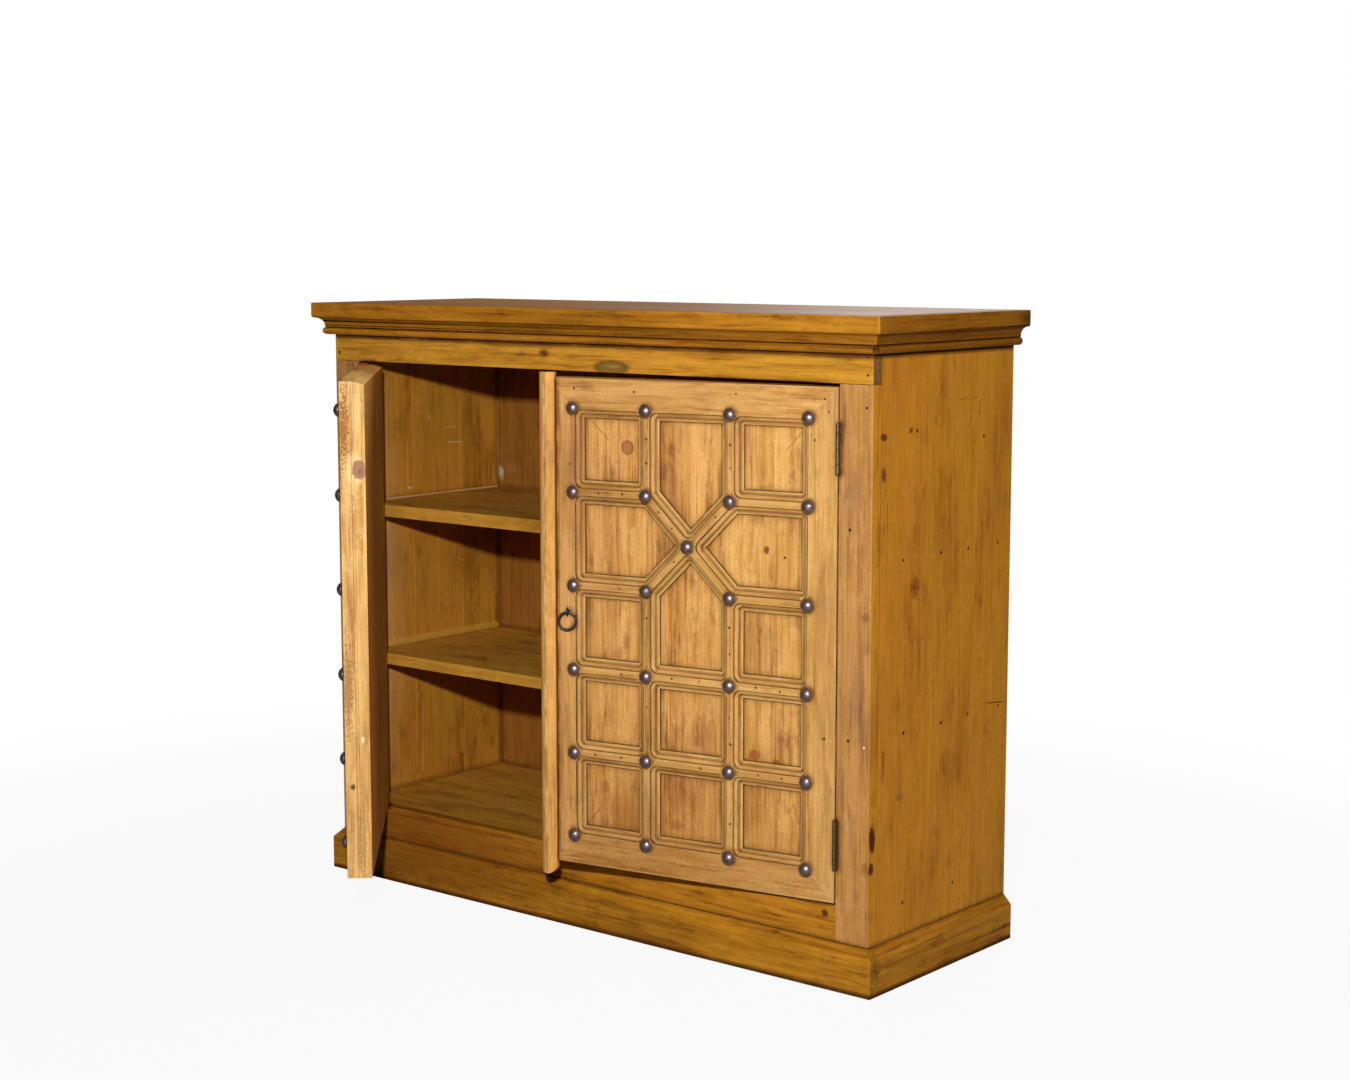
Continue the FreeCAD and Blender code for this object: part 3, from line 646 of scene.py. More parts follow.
REAR_MARKS = (
    Scratch((-545.5, 381, 700), (-545.5, 381, 830), 2.2, tint(186, 150, 112), 0.4),
    Mark((-539.9, 381, 693), (11, 20, 18), tint(236, 220, 200), 0.85, 0.7, 2.0),
    Mark((-516, 381, 702), (16, 20, 16), tint(176, 140, 104), 0.5, 0.9, 2.4),
    Mark((-502.6, 381, 699.7), (4, 20, 4), tint(176, 150, 122), 0.6, 0.7, 1.4),
    Mark((-537.7, 381, 405.8), (5, 20, 5), tint(176, 140, 92), 0.5, 0.7, 1.4),
    Mark((-535.8, 381, 142.2), (4, 20, 4), tint(176, 140, 92), 0.5, 0.7, 1.4),
)
RAW_MARKS = (
    Mark((-144, -357.8, 778.2), (20, 20, 33), tint(248, 214, 158), 0.7, 0.5, 0.8),
    Mark((-139, -353, 779), (11, 11, 15), tint(156, 106, 88), 0.9, 0.35, 1.1, 0.6, 8),
    Mark((-138, -352, 776), (5, 5, 8), tint(122, 74, 60), 0.6, 0.8, 0.9),
    Mark((-156, -369, 435), (11, 11, 100), tint(146, 98, 58), 0.7, 0.7, 1.8),
    Mark((-142, -356, 200), (9, 9, 90), tint(156, 106, 60), 0.6, 0.7, 1.8),
    Mark((-152.3, -365.4, 279.1), (4.5, 4.5, 6), tint(96, 62, 30), 0.9, 0.4, 0.8),
    Mark((-140.1, -353.8, 354), (3, 3, 7), CHIP, 0.8, 0.4, 1.2),
    Mark((-158, -370.5, 845), (10, 10, 60), tint(140, 88, 30), 0.8, 0.4, 4.2),
    Mark((-140, -354, 870), (8, 8, 50), tint(246, 206, 140), 0.6, 0.6, 1.6),
    Mark((-142, -356, 700), (12, 12, 50), tint(186, 128, 70), 0.5, 0.7, 2.6),
    Scratch((-147, -360.9, 100), (-147, -360.9, 910), 1.1, tint(140, 88, 40), 0.7),
)

# Finishes, with colours as the eye sees the lit wood

HONEY = Pine("honey_pine", "door_pine", tint(240, 190, 116), tint(206, 148, 76), tint(144, 88, 34),
             grime=tint(104, 56, 12), alone=True, grime_and_shade=0.85, grime_and_shade_reach=0.010, smudge=0.7, gloss=0.15,
             tone=(0.98, 0.96, 0.93), marks=FRAME_MARKS)
PANEL = Pine("panel_pine", "door_pine", tint(242, 192, 118), tint(204, 148, 76), tint(138, 84, 34),
             tint(134, 82, 50), golden=0.4, smudge=0.9, grime_and_shade=0.85, grime_and_shade_reach=0.028, gloss=0.15,
             tone=(1.07, 1.0, 0.91), marks=DOOR_MARKS)
AMBER = Pine("amber_pine", "case_pine", tint(206, 148, 50), tint(170, 112, 28), tint(106, 60, 10),
             tint(92, 52, 18), tint(184, 128, 26), tint(104, 56, 10), smudge=0.7, gloss=0.1,
             tone=(1.06, 0.97, 0.75), marks=CASE_MARKS)
FRIEZE = replace(AMBER, name="frieze_pine", tone=(1.38, 1.44, 1.5))
CORNICE_SIDE = replace(AMBER, name="cornice_side_pine", tone=(0.78, 0.63, 0.45))
ROSY = Pine("rosy_pine", "case_pine", tint(206, 152, 86), tint(174, 120, 62), tint(132, 84, 40),
            tint(126, 80, 56), tint(184, 130, 54), smudge=0.8, gloss=0.12, tone=(1.08, 1.1, 1.12),
            marks=STILE_MARKS)
FLANK = Pine("flank_pine", "case_pine", tint(226, 156, 44), tint(200, 132, 28), tint(146, 84, 12),
             tint(150, 86, 30), tint(214, 150, 24), tint(118, 64, 10), streaks=0.5, smudge=0.65,
             golden=0.5, rubbed=0.5, figure=0.08, lift=0.03, gloss=0.1, tone=(1.0, 0.96, 1.2),
             marks=SIDE_MARKS)
INNER = Pine("inner_pine", "inner_pine", tint(226, 162, 62), tint(196, 130, 42), tint(136, 82, 20),
             tint(118, 70, 22), tint(212, 158, 40), tint(110, 62, 10), streaks=0.5, smudge=0.85,
             golden=0.6, figure=0.1, line=0.3, grime_and_shade=0.4, polish=0.6, gloss=0.08, tone=(0.655, 0.58, 0.49),
             marks=INSIDE_MARKS)
BACKING = replace(INNER, name="backing_pine", streaks=0.8, smudge=0.5, tone=(1.25, 1.42, 2.9), marks=())
SHELF = Pine("shelf_pine", "inner_pine", tint(216, 164, 72), tint(186, 132, 48), tint(130, 86, 24),
             tint(98, 62, 24), tint(190, 142, 40), tint(92, 54, 14), streaks=0.7, smudge=0.8,
             line=0.3, grime_and_shade=0.4, polish=0.6, gloss=0.1, tone=(1.0, 0.94, 0.74), marks=INSIDE_MARKS)
REAR = Pine("rear_pine", "inner_pine", tint(182, 120, 52), tint(164, 102, 40), tint(124, 70, 22),
            tint(96, 52, 18), tint(166, 108, 34), tint(88, 46, 10), streaks=0.6, line=0.3, grime_and_shade=0.3,
            polish=0.6, gloss=0.08, tone=(0.70, 0.70, 0.56), marks=REAR_MARKS)
TOP = Pine("top_pine", "case_pine", tint(204, 148, 84), tint(182, 126, 64), tint(146, 94, 42),
           polish=0.45, gloss=0.3, tone=(1.05, 0.93, 0.68))
STRIP = Pine("strip_pine", "door_pine", tint(226, 172, 98), tint(200, 144, 74), tint(152, 98, 44),
             grime_and_shade=0.3, ridge=0.9, gloss=0.15, tone=(1.3, 1.33, 1.2))
RAW = Pine("raw_edge_pine", "door_pine", tint(248, 208, 146), tint(216, 164, 94), tint(156, 102, 46),
           figure=0.5, wear_and_highlight=0.2, line=0.4, grime_and_shade=0.2, gloss=0.1, tone=(1.2, 1.16, 1.05), marks=RAW_MARKS)
RAW_TOP = replace(RAW, name="raw_top_pine", tone=(1.7, 1.55, 1.2), marks=())
END = Pine("end_grain_pine", "case_pine", tint(150, 108, 62), tint(130, 88, 44), tint(98, 62, 28),
           tint(88, 58, 34), polish=0.62)
BRONZE = Metal("stud_bronze", "stud_bronze", tint(172, 154, 152), tint(84, 58, 54), 0.31, 0.8, 0.0002,
               180.0, 0.005)
IRON = Metal("black_iron", "black_iron", tint(84, 74, 72), tint(44, 36, 34), 0.34, 0.6, 0.0003)
STEEL = Metal("hinge_steel", "hinge_steel", tint(128, 112, 84), tint(76, 56, 34), 0.45, 0.8, 0.0002)
NAIL = Filler("nail_hole", "hinge_steel", tint(44, 22, 9), tint(92, 52, 22))


# Modelling by hand


def pick(*pieces: bpy.types.Object) -> None:
    """Select these objects alone, the first one active."""
    for other in list(bpy.context.selected_objects):
        other.select_set(False)
    for piece in pieces:
        piece.select_set(True)
    bpy.context.view_layer.objects.active = pieces[0]


@contextmanager
def editing(piece: bpy.types.Object, whole: bool = False) -> Iterator[None]:
    """Work on one object in edit mode, on what is selected in it or on the whole mesh."""
    pick(piece)
    bpy.ops.object.mode_set(mode="EDIT")
    if whole:
        bpy.ops.mesh.select_all(action="SELECT")
    yield
    bpy.ops.object.mode_set(mode="OBJECT")


def mark_out(piece: bpy.types.Object, parts: str, chosen: Callable[..., bool]) -> None:
    """Select the faces or points that pass a test, and nothing else.

    Args:
        piece: The object, in object mode.
        parts: "polygons" or "vertices".
        chosen: Test of one of them.
    """
    with editing(piece):
        bpy.ops.mesh.select_mode(type="FACE" if parts == "polygons" else "VERT")
        bpy.ops.mesh.select_all(action="DESELECT")
    for part in getattr(piece.data, parts):
        part.select = chosen(part)


def modify(piece: bpy.types.Object, kind: str, **settings: object) -> None:
    """Add a modifier with its settings and apply it."""
    modifier = piece.modifiers.new(kind.lower(), kind)
    for key, setting in settings.items():
        setattr(modifier, key, setting)
    pick(piece)
    bpy.ops.object.modifier_apply(modifier=modifier.name)


def copy_node(node: str, name: str) -> bpy.types.Object:
    """Return a loose copy of a CAD node under its own name."""
    pick(frame["nodes"][node])
    bpy.ops.object.duplicate()
    piece = bpy.context.active_object
    piece.parent = None
    for key in list(piece.keys()):
        del piece[key]
    piece.name = name
    piece.data.materials.clear()
    return piece


def copy_piece(piece: bpy.types.Object) -> bpy.types.Object:
    """Return a copy of a finished piece with its own mesh."""
    pick(piece)
    bpy.ops.object.duplicate(linked=False)
    return bpy.context.active_object


def settle(piece: bpy.types.Object, matrix: Matrix) -> None:
    """Move a piece's mesh by a matrix and leave its object at the origin."""
    piece.matrix_world = matrix
    pick(piece)
    bpy.ops.object.transform_apply(location=True, rotation=True, scale=True)


def join(pieces: list[bpy.types.Object], name: str) -> bpy.types.Object:
    """Join pieces into one object."""
    pick(*pieces)
    if len(pieces) > 1:
        bpy.ops.object.join()
    made = bpy.context.view_layer.objects.active
    made.name = made.data.name = name
    return made


def separate_where(piece: bpy.types.Object, inside: Callable[[Vector], bool]) -> bpy.types.Object | None:
    """Split off the faces whose solid side passes a test.

    Args:
        piece: The object to split, whose remaining faces stay in it.
        inside: Test of a point just inside the solid, behind a face's middle.

    Returns:
        The object split off, or None where no face or every face passes.
    """
    faces = piece.data.polygons
    chosen = {face.index for face in faces if inside(face.center - face.normal * HAIR)}
    if len(chosen) in (0, len(faces)):
        return None
    mark_out(piece, "polygons", lambda face: face.index in chosen)
    with editing(piece):
        bpy.ops.mesh.separate(type="SELECTED")
    return next(other for other in bpy.context.selected_objects if other is not piece)


def joint_levels(piece: bpy.types.Object, across: Vector) -> list[float]:
    """Return where boards that lie side by side meet, as places along a direction."""
    sides: dict[int, set[float]] = {1: set(), -1: set()}
    for face in piece.data.polygons:
        facing = face.normal.dot(across)
        if abs(facing) > PARALLEL:
            sides[round(facing)].add(round(face.center.dot(across), 5))
    return sorted(sides[1] & sides[-1])


def boards_of(piece: bpy.types.Object, across: Vector) -> list[bpy.types.Object]:
    """Split a copy into boards: side by side along a direction, and then by loose parts."""
    boards = []
    for level in joint_levels(piece, across):
        board = separate_where(piece, lambda point, level=level: point.dot(across) < level)
        if board:
            boards.append(board)
    boards.append(piece)
    loose = []
    for board in boards:
        with editing(board, whole=True):
            bpy.ops.mesh.remove_doubles(threshold=WELD)
            bpy.ops.mesh.separate(type="LOOSE")
        loose += list(bpy.context.selected_objects)
    return sorted(loose, key=lambda board: board.name)


def middle_of(piece: bpy.types.Object) -> Vector:
    """Return the middle of a mesh's box."""
    corners = [Vector(corner) for corner in piece.bound_box]
    return (corners[0] + corners[6]) / 2


def choose_arrises(piece: bpy.types.Object, run: Vector) -> None:
    """Weigh a moulding's sharp edges along its run for the bevel, and leave its ends and slits."""
    points = [vertex.co for vertex in piece.data.vertices]
    sides: dict[tuple[int, int], list[Vector]] = {}
    for face in piece.data.polygons:
        for key in face.edge_keys:
            sides.setdefault(key, []).append(face.normal)
    weights = []
    for edge in piece.data.edges:
        start, end = (points[index] for index in edge.vertices)
        normals = sides[edge.key]
        along = abs((end - start).normalized().dot(run)) > PARALLEL
        weights.append(float(along and SHARP < normals[0].angle(normals[-1]) < FOLD))
    layer = piece.data.attributes.new("bevel_weight_edge", "FLOAT", "EDGE")
    layer.data.foreach_set("value", weights)


def soften(piece: bpy.types.Object, width: float, run: Vector | None = None) -> None:
    """Round a solid's sharp edges and keep its flats flat in the light.

    Args:
        piece: The solid.
        width: Width of the rounded edges, or 0 for none.
        run: Direction of a moulding, of which only the edges along it are rounded.
    """
    with editing(piece, whole=True):
        bpy.ops.mesh.remove_doubles(threshold=WELD)
        bpy.ops.mesh.dissolve_limited(angle_limit=FLAT)
    if run:
        choose_arrises(piece, run)
    if width:
        modify(piece, "BEVEL", width=width, segments=BEVEL_STEPS, angle_limit=SHARP,
               limit_method="WEIGHT" if run else "ANGLE", use_clamp_overlap=False)
    pick(piece)
    bpy.ops.object.shade_smooth_by_angle(angle=SHARP)
    modify(piece, "WEIGHTED_NORMAL", keep_sharp=True)


def lay_grain(piece: bpy.types.Object, grain: Grain, seed: float) -> None:
    """Give each point its metres along, across and through its board, and the board's seed.

    Args:
        piece: The board.
        grain: Which way its grain runs.
        seed: Number from 0 to 1 that sets the board's own figure.
    """
    along, across = grain.value
    axes = np.array([along, across, along.cross(across)])
    points = np.empty(len(piece.data.vertices) * 3)
    piece.data.vertices.foreach_get("co", points)
    local = (points.reshape(-1, 3) - np.array(middle_of(piece))) @ axes.T
    for name, kind, key, values in (
            ("grain", "FLOAT_VECTOR", "vector", local.ravel()),
            ("board", "FLOAT", "value", np.full(len(local), seed))):
        layer = piece.data.attributes.new(name, kind, "POINT")
        layer.data.foreach_set(key, values.astype(np.float32))


@dataclass
class Workshop:
    """Where pieces get their finish and their body."""

    facing: float = 0.85
    chance: random.Random = field(default_factory=lambda: random.Random(41))
    materials: dict[str, bpy.types.Material] = field(default_factory=dict)

    def material(self, finish: Finish) -> bpy.types.Material:
        """Return a finish's material, made once."""
        if finish.name not in self.materials:
            self.materials[finish.name] = finish.material()
        return self.materials[finish.name]

    def hand_over(self, piece: bpy.types.Object, body: str, slot: str, replaced: str | None = None) -> None:
        """Set a finished piece on its body, and hide the CAD node that it replaces, if any."""
        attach(piece, body)
        if replaced:
            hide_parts(replaced)
        LOG.info("%s rides on %s", piece.name, body)

    def timber(self, node: str, grain: Grain, finish: Pine, body: str, edge: float,
               closed: Matrix | None = None, pick_grain: Callable[[Vector], Grain] | None = None,
               cuts: tuple[Vector, ...] = (), faces: tuple[tuple[Vector, Pine], ...] = (),
               shape: Callable[[list[bpy.types.Object]], None] | None = None,
               moulded: bool = False) -> None:
        """Make the worn boards that stand for one CAD node.

        Args:
            node: The CAD node.
            grain: Which way its boards run.
            finish: Their finish.
            body: The body they ride on.
            edge: Width of their rounded edges.
            closed: Matrix from a shut door's place to its place at rest.
            pick_grain: Chooses a board's grain by its middle, where it differs.
            cuts: Middle of a crossing at which touching boards are parted.
            faces: Directions whose faces have a finish of their own.
            shape: Further work on the boards before they are joined.
            moulded: Whether only the edges along the grain are rounded.
        """
        piece = copy_node(node, node + "_worn")
        rest = closed or Matrix.Identity(4)
        settle(piece, rest.inverted())
        pieces = [piece]
        for centre in cuts:
            for axis in (RIGHT, UP):
                level = centre.dot(axis)
                pieces += [part for part in [separate_where(
                    whole, lambda point: point.dot(axis) < level) for whole in pieces] if part]
        boards = [board for whole in pieces for board in boards_of(whole, grain.value[1])]
        for board in boards:
            soften(board, edge, grain.value[0] if moulded else None)
            lay_grain(board, pick_grain(middle_of(board)) if pick_grain else grain, self.chance.random())
            board.data.materials.append(self.material(finish))
            for outward, other in faces:
                self.face_finish(board, outward, other)
        if shape:
            shape(boards)
        made = join(boards, node + "_worn")
        settle(made, rest)
        self.hand_over(made, body, finish.slot, node)

    def face_finish(self, board: bpy.types.Object, outward: Vector, finish: Pine) -> None:
        """Give the faces of a board that look one way a finish of their own."""
        board.data.materials.append(self.material(finish))
        last = len(board.data.materials) - 1
        for face in board.data.polygons:
            if face.normal.dot(outward) > self.facing:
                face.material_index = last

    def dress(self, node: str, finish: Metal) -> None:
        """Give a CAD node that stays a finish on its own slots."""
        for slot in frame["nodes"][node].material_slots:
            slot.material = self.material(finish)
        LOG.info("%s stays, dressed", node)

    def metalwork(self, node: str, finish: Metal, body: str) -> None:
        """Make the smooth copy that stands for a metal CAD node."""
        piece = copy_node(node, node + "_worn")
        soften(piece, 0.0)
        piece.data.materials.append(self.material(finish))
        self.hand_over(piece, body, finish.slot, node)


@dataclass
class Nails:
    """Small nail heads sunk in dark wax, gathered into one piece."""

    shop: Workshop
    radius: float = 1.7 * MM
    rise: float = 0.2 * MM
    sink: float = 0.6 * MM
    sides: int = 10
    lip: float = 0.45
    sizes: tuple[float, float] = (0.75, 1.15)

    def head(self) -> bpy.types.Object:
        """Return the one head that the others are copied from, facing up at the origin."""
        bpy.ops.mesh.primitive_cylinder_add(vertices=self.sides, radius=self.radius, depth=self.sink)
        head = bpy.context.active_object
        mark_out(head, "polygons", lambda face: face.normal.z > PARALLEL)
        with editing(head):
            bpy.ops.mesh.inset(thickness=self.radius * self.lip)
            bpy.ops.transform.translate(value=(0, 0, -self.rise))
        settle(head, Matrix.Translation((0, 0, self.rise - self.sink / 2)))
        return head

    def drive(self, places: list[Vector], outward: Vector, name: str, body: str,
              rest: Matrix | None = None) -> None:
        """Set nail heads on a face and join them into one piece.

        Args:
            places: The points on the face.
            outward: The face's outward direction.
            name: The piece's name.
            body: The body that it rides on.
            rest: Matrix from the shut place to the place at rest, for a door.
        """
        model = self.head()
        turn = outward.to_track_quat("Z", "Y").to_matrix().to_4x4()
        heads = []
        for place in places:
            head = copy_piece(model)
            size = self.shop.chance.uniform(*self.sizes)
            settle(head, Matrix.Translation(place) @ turn @ Matrix.Diagonal((size, size, 1.0, 1.0)))
            heads.append(head)
        bpy.data.objects.remove(model)
        made = join(heads, name)
        made.data.materials.append(self.shop.material(NAIL))
        settle(made, rest or Matrix.Identity(4))
        self.shop.hand_over(made, body, NAIL.slot)


@dataclass
class Case:
    """The fixed part of the cabinet."""

    shop: Workshop
    body: str = "case"
    edge: float = 1.0 * MM
    seam: float = 0.3 * MM
    nail_radius: float = 2.4 * MM
    side_nails: tuple[tuple[float, float], ...] = (
        (0.084, 0.654), (0.187, 0.655), (0.265, 0.653), (0.352, 0.654),
        (0.090, 0.389), (0.194, 0.388), (0.270, 0.390), (0.362, 0.389),
        (0.093, 0.124), (0.234, 0.125), (0.117, 0.846), (0.305, 0.826))
    front_nails: tuple[tuple[float, float], ...] = (
        (0.5645, 0.9605), (0.5650, 0.9340), (0.5636, 0.8861), (0.5357, 0.3864), (0.5355, 0.7044))

    def build(self) -> None:
        """Make the boards, the cornice, the plinth, the shelves and their nails."""
        ends = ((RIGHT, END), (LEFT, END))
        for node, grain, finish, faces in (
                ("cornice_front", Grain.ACROSS, AMBER, ()),
                ("cornice_right", Grain.DEEP, CORNICE_SIDE, ()),
                ("cornice_left", Grain.DEEP, CORNICE_SIDE, ()),
                ("frieze_board", Grain.ACROSS, FRIEZE, ends),
                ("right_case_stile", Grain.UPRIGHT, ROSY, ((RIGHT, FLANK),)),
                ("left_case_stile", Grain.UPRIGHT, ROSY, ((LEFT, FLANK),)),
                ("bottom_rail", Grain.ACROSS, AMBER, ()),
                ("right_side_boards", Grain.UPRIGHT_SIDE, FLANK, ((LEFT, INNER),)),
                ("left_side_boards", Grain.UPRIGHT_SIDE, FLANK, ((RIGHT, INNER),)),
                ("back_boards", Grain.UPRIGHT, REAR, ()),
                ("top_boards", Grain.ACROSS_FLAT, TOP, ()),
                ("top_battens", Grain.DEEP, INNER, ()),
                ("floor_board", Grain.ACROSS_FLAT, SHELF, ()),
                ("lower_shelf", Grain.ACROSS_FLAT, SHELF, ()),
                ("upper_shelf", Grain.ACROSS_FLAT, SHELF, ()),
                ("plinth_front", Grain.ACROSS, AMBER, ()),
                ("plinth_right", Grain.DEEP, AMBER, ()),
                ("plinth_left", Grain.DEEP, AMBER, ()),
                ("plinth_back", Grain.ACROSS, INNER, ()),
                ("plinth_corner_blocks", Grain.UPRIGHT, INNER, ())):
            edge = self.seam if node.endswith("_boards") else self.edge
            self.shop.timber(node, grain, finish, self.body, edge, faces=faces,
                             moulded=node.startswith("cornice"))
        self.shop.dress("frame_leaf_screws", STEEL)
        nails = Nails(self.shop, self.nail_radius)
        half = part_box("right_side_boards")[1][0]
        for side, outward, name in ((1, RIGHT, "right"), (-1, LEFT, "left")):
            nails.drive([Vector((side * half, y, z)) for y, z in self.side_nails],
                        outward, name + "_side_nails", self.body)
            nails.drive([Vector((side * x, 0, z)) for x, z in self.front_nails],
                        FRONT, name + "_stile_nails", self.body)


@dataclass
class Door:
    """One studded door, worked on as if shut."""

    shop: Workshop
    side: str
    stud_radius: float = 10.9 * MM
    stud_rim: float = 0.9 * MM
    stud_facets: tuple[int, int] = (28, 40)
    stud_dents: float = 0.06 * MM
    stud_smooth: float = math.radians(40)
    edge: float = 0.5 * MM
    seam: float = 0.3 * MM
    back_slope: float = 5.0 * MM
    crown_half: float = 5.5 * MM
    arris_offset: float = 2.0 * MM
    moulding: float = 13.0 * MM
    least_corner: float = 0.1
    most_corner: float = 3.0
    relief: float = 10.4 * MM
    margin: float = 1.2
    clearance: float = 1.0 * MM
    turn_steps: int = 56
    ovolo_steps: int = 5
    quirk: float = 1.8 * MM
    ovolo_width: float = 7.5 * MM
    ovolo_drop: float = 5.6 * MM
    edge_fall: float = 1.4 * MM
    frame_nails: tuple[tuple[float, float], ...] = (
        (0.0508, 0.8988), (0.1611, 0.8961), (0.3412, 0.8989), (0.4911, 0.8964),
        (0.4979, 0.8774), (0.4751, 0.8349), (0.0425, 0.7783), (0.4942, 0.3842))
    neighbour: float = 0.17
    rib_shares: tuple[float, float] = (0.34, 0.67)
    stray_along: float = 0.05
    stray_aside: float = 1.5 * MM
    nail_odds: float = 0.6
    on_wood: float = 0.1 * MM

    def __post_init__(self) -> None:
        """Read how far the door stands open from its joint, and where its studs are."""
        self.body = self.side + "_door"
        hinge = next(joint for joint in frame["joints"] if joint["child"] == self.body)
        pin = Matrix.Translation(Vector(hinge["pos_m"]))
        turn = Matrix.Rotation(math.radians(-hinge["range_deg"][0]), 4, Vector(hinge["axis"]))
        self.rest = pin @ turn @ pin.inverted()
        points = [self.rest.inverted() @ vertex.co for vertex in self.node("studs").data.vertices]
        apex = min(point.y for point in points)
        self.stud_height = -apex
        tips = {(round(point.x, 4), round(point.z, 4)) for point in points if point.y < apex + HAIR}
        self.studs = [Vector((x, 0.0, z)) for x, z in sorted(tips)]

    def node(self, name: str) -> bpy.types.Object:
        """Return one of the door's CAD nodes."""
        return frame["nodes"][f"{self.body}_{name}"]

    def crossing(self) -> Vector:
        """Return the middle of the diagonal cross, the stud that shares no column."""
        columns = [round(stud.x, 3) for stud in self.studs]
        return next(stud for stud, column in zip(self.studs, columns) if columns.count(column) == 1)

    def build(self) -> None:
        """Make the frame, boards, ribs, studs, nails and hinge leaves."""
        top = ((UP, RAW_TOP),) if self.side == "left" else ()
        raw = ((RIGHT if self.side == "left" else LEFT, RAW), *top)
        for name, grain, finish, faces in (
                ("top_rail", Grain.ACROSS, HONEY, top),
                ("bottom_rail", Grain.ACROSS, HONEY, ()),
                ("hinge_stile", Grain.UPRIGHT, HONEY, ()),
                ("meeting_stile", Grain.UPRIGHT, HONEY, raw),
                ("upright_ribs", Grain.UPRIGHT, HONEY, ()),
                ("cross_ribs", Grain.ACROSS, HONEY, ()),
                ("field_boards", Grain.UPRIGHT, PANEL, ()),
                ("backing_boards", Grain.UPRIGHT, BACKING, raw)):
            edge = self.seam if name == "field_boards" else self.edge
            shape = self.slope_back if (self.side, name) == ("left", "backing_boards") else None
            self.shop.timber(f"{self.body}_{name}", grain, finish, self.body, edge, self.rest,
                             faces=faces, shape=shape)
        centre = self.crossing()

        def slope(middle: Vector) -> Grain:
            """Return the grain of the diagonal rib with this middle."""
            rising = (middle.x - centre.x) * (middle.z - centre.z) > 0
            return Grain.RISING if rising else Grain.FALLING

        self.shop.timber(self.body + "_diagonal_ribs", Grain.RISING, HONEY, self.body, self.edge,
                         self.rest, slope, (centre,))
        self.build_corners()
        self.build_studs()
        outer = 1 if self.side == "right" else -1
        places = self.rib_nails() + [Vector((outer * x, 0.0, z)) for x, z in self.frame_nails]
        Nails(self.shop).drive(places, FRONT, self.body + "_nails", self.body, self.rest)
        for level in ("upper", "lower"):
            self.shop.metalwork(f"{self.body}_{level}_door_leaf", STEEL, self.body)
            for part in ("frame_leaf", "hinge_pin"):
                self.shop.metalwork(f"{self.side}_{level}_{part}", STEEL, Case.body)
        self.shop.dress(self.body + "_leaf_screws", STEEL)

    def slope_back(self, boards: list[bpy.types.Object]) -> None:
        """Plane the backing's top edge down towards the back, as on the real left door."""
        for board in boards:
            top = max(vertex.co.z for vertex in board.data.vertices) - MM
            back = max(vertex.co.y for vertex in board.data.vertices) - MM
            mark_out(board, "vertices", lambda vertex: vertex.co.z > top and vertex.co.y > back)
            with editing(board):
                bpy.ops.transform.translate(value=(0, 0, -self.back_slope))

    def corners(self) -> list[tuple[Vector, float, float]]:
        """Find where two mouldings meet round a panel.

        Returns:
            For each corner its foot point, the angle from there back to the crown, and the
            angle between the two mouldings, both in radians.
        """
        middle = self.crossing()
        columns = sorted({round(stud.x, 5) for stud in self.studs if stud != middle})
        rows = sorted({round(stud.z, 5) for stud in self.studs if stud != middle}, reverse=True)
        grid = [[Vector((x, 0, z)) for z in rows] for x in columns]
        far, low = len(columns) - 1, len(rows) - 1
        # The cell between the inner columns that the diagonal cross fills has no ribs along its sides
        bars = [(grid[c][r], grid[c][r + 1], c in (0, far)) for c in range(far + 1) for r in range(low)
                if c in (0, far) or r != 1]
        bars += [(grid[c][r], grid[c + 1][r], r in (0, low)) for r in range(low + 1) for c in range(far)
                 if r in (0, low) or r > 2 or c != 1]
        bars += [(middle, grid[c][r], False) for c in (1, 2) for r in (1, 2)]
        arms: dict[tuple[float, float], list[tuple[float, bool]]] = {}
        for first, second, framed in bars:
            for here, there in ((first, second), (second, first)):
                angle = math.atan2(there.z - here.z, there.x - here.x) % math.tau
                arms.setdefault((here.x, here.z), []).append((angle, framed))
        found = []
        for (x, z), around in arms.items():
            around.sort()
            for (start, framed), (end, next_framed) in zip(around, around[1:] + around[:1]):
                gap = (end - start) % math.tau
                if not self.least_corner < gap < self.most_corner:
                    continue
                feet = [self.moulding + (self.arris_offset if edge else self.crown_half)
                        for edge in (framed, next_framed)]
                across = np.array([[-math.sin(start), math.cos(start)], [math.sin(end), -math.cos(end)]])
                shift = np.linalg.solve(across, np.array(feet))
                foot = Vector((x + shift[0], 0, z + shift[1]))
                found.append((foot, start + gap / 2 + math.pi, gap))
        return found

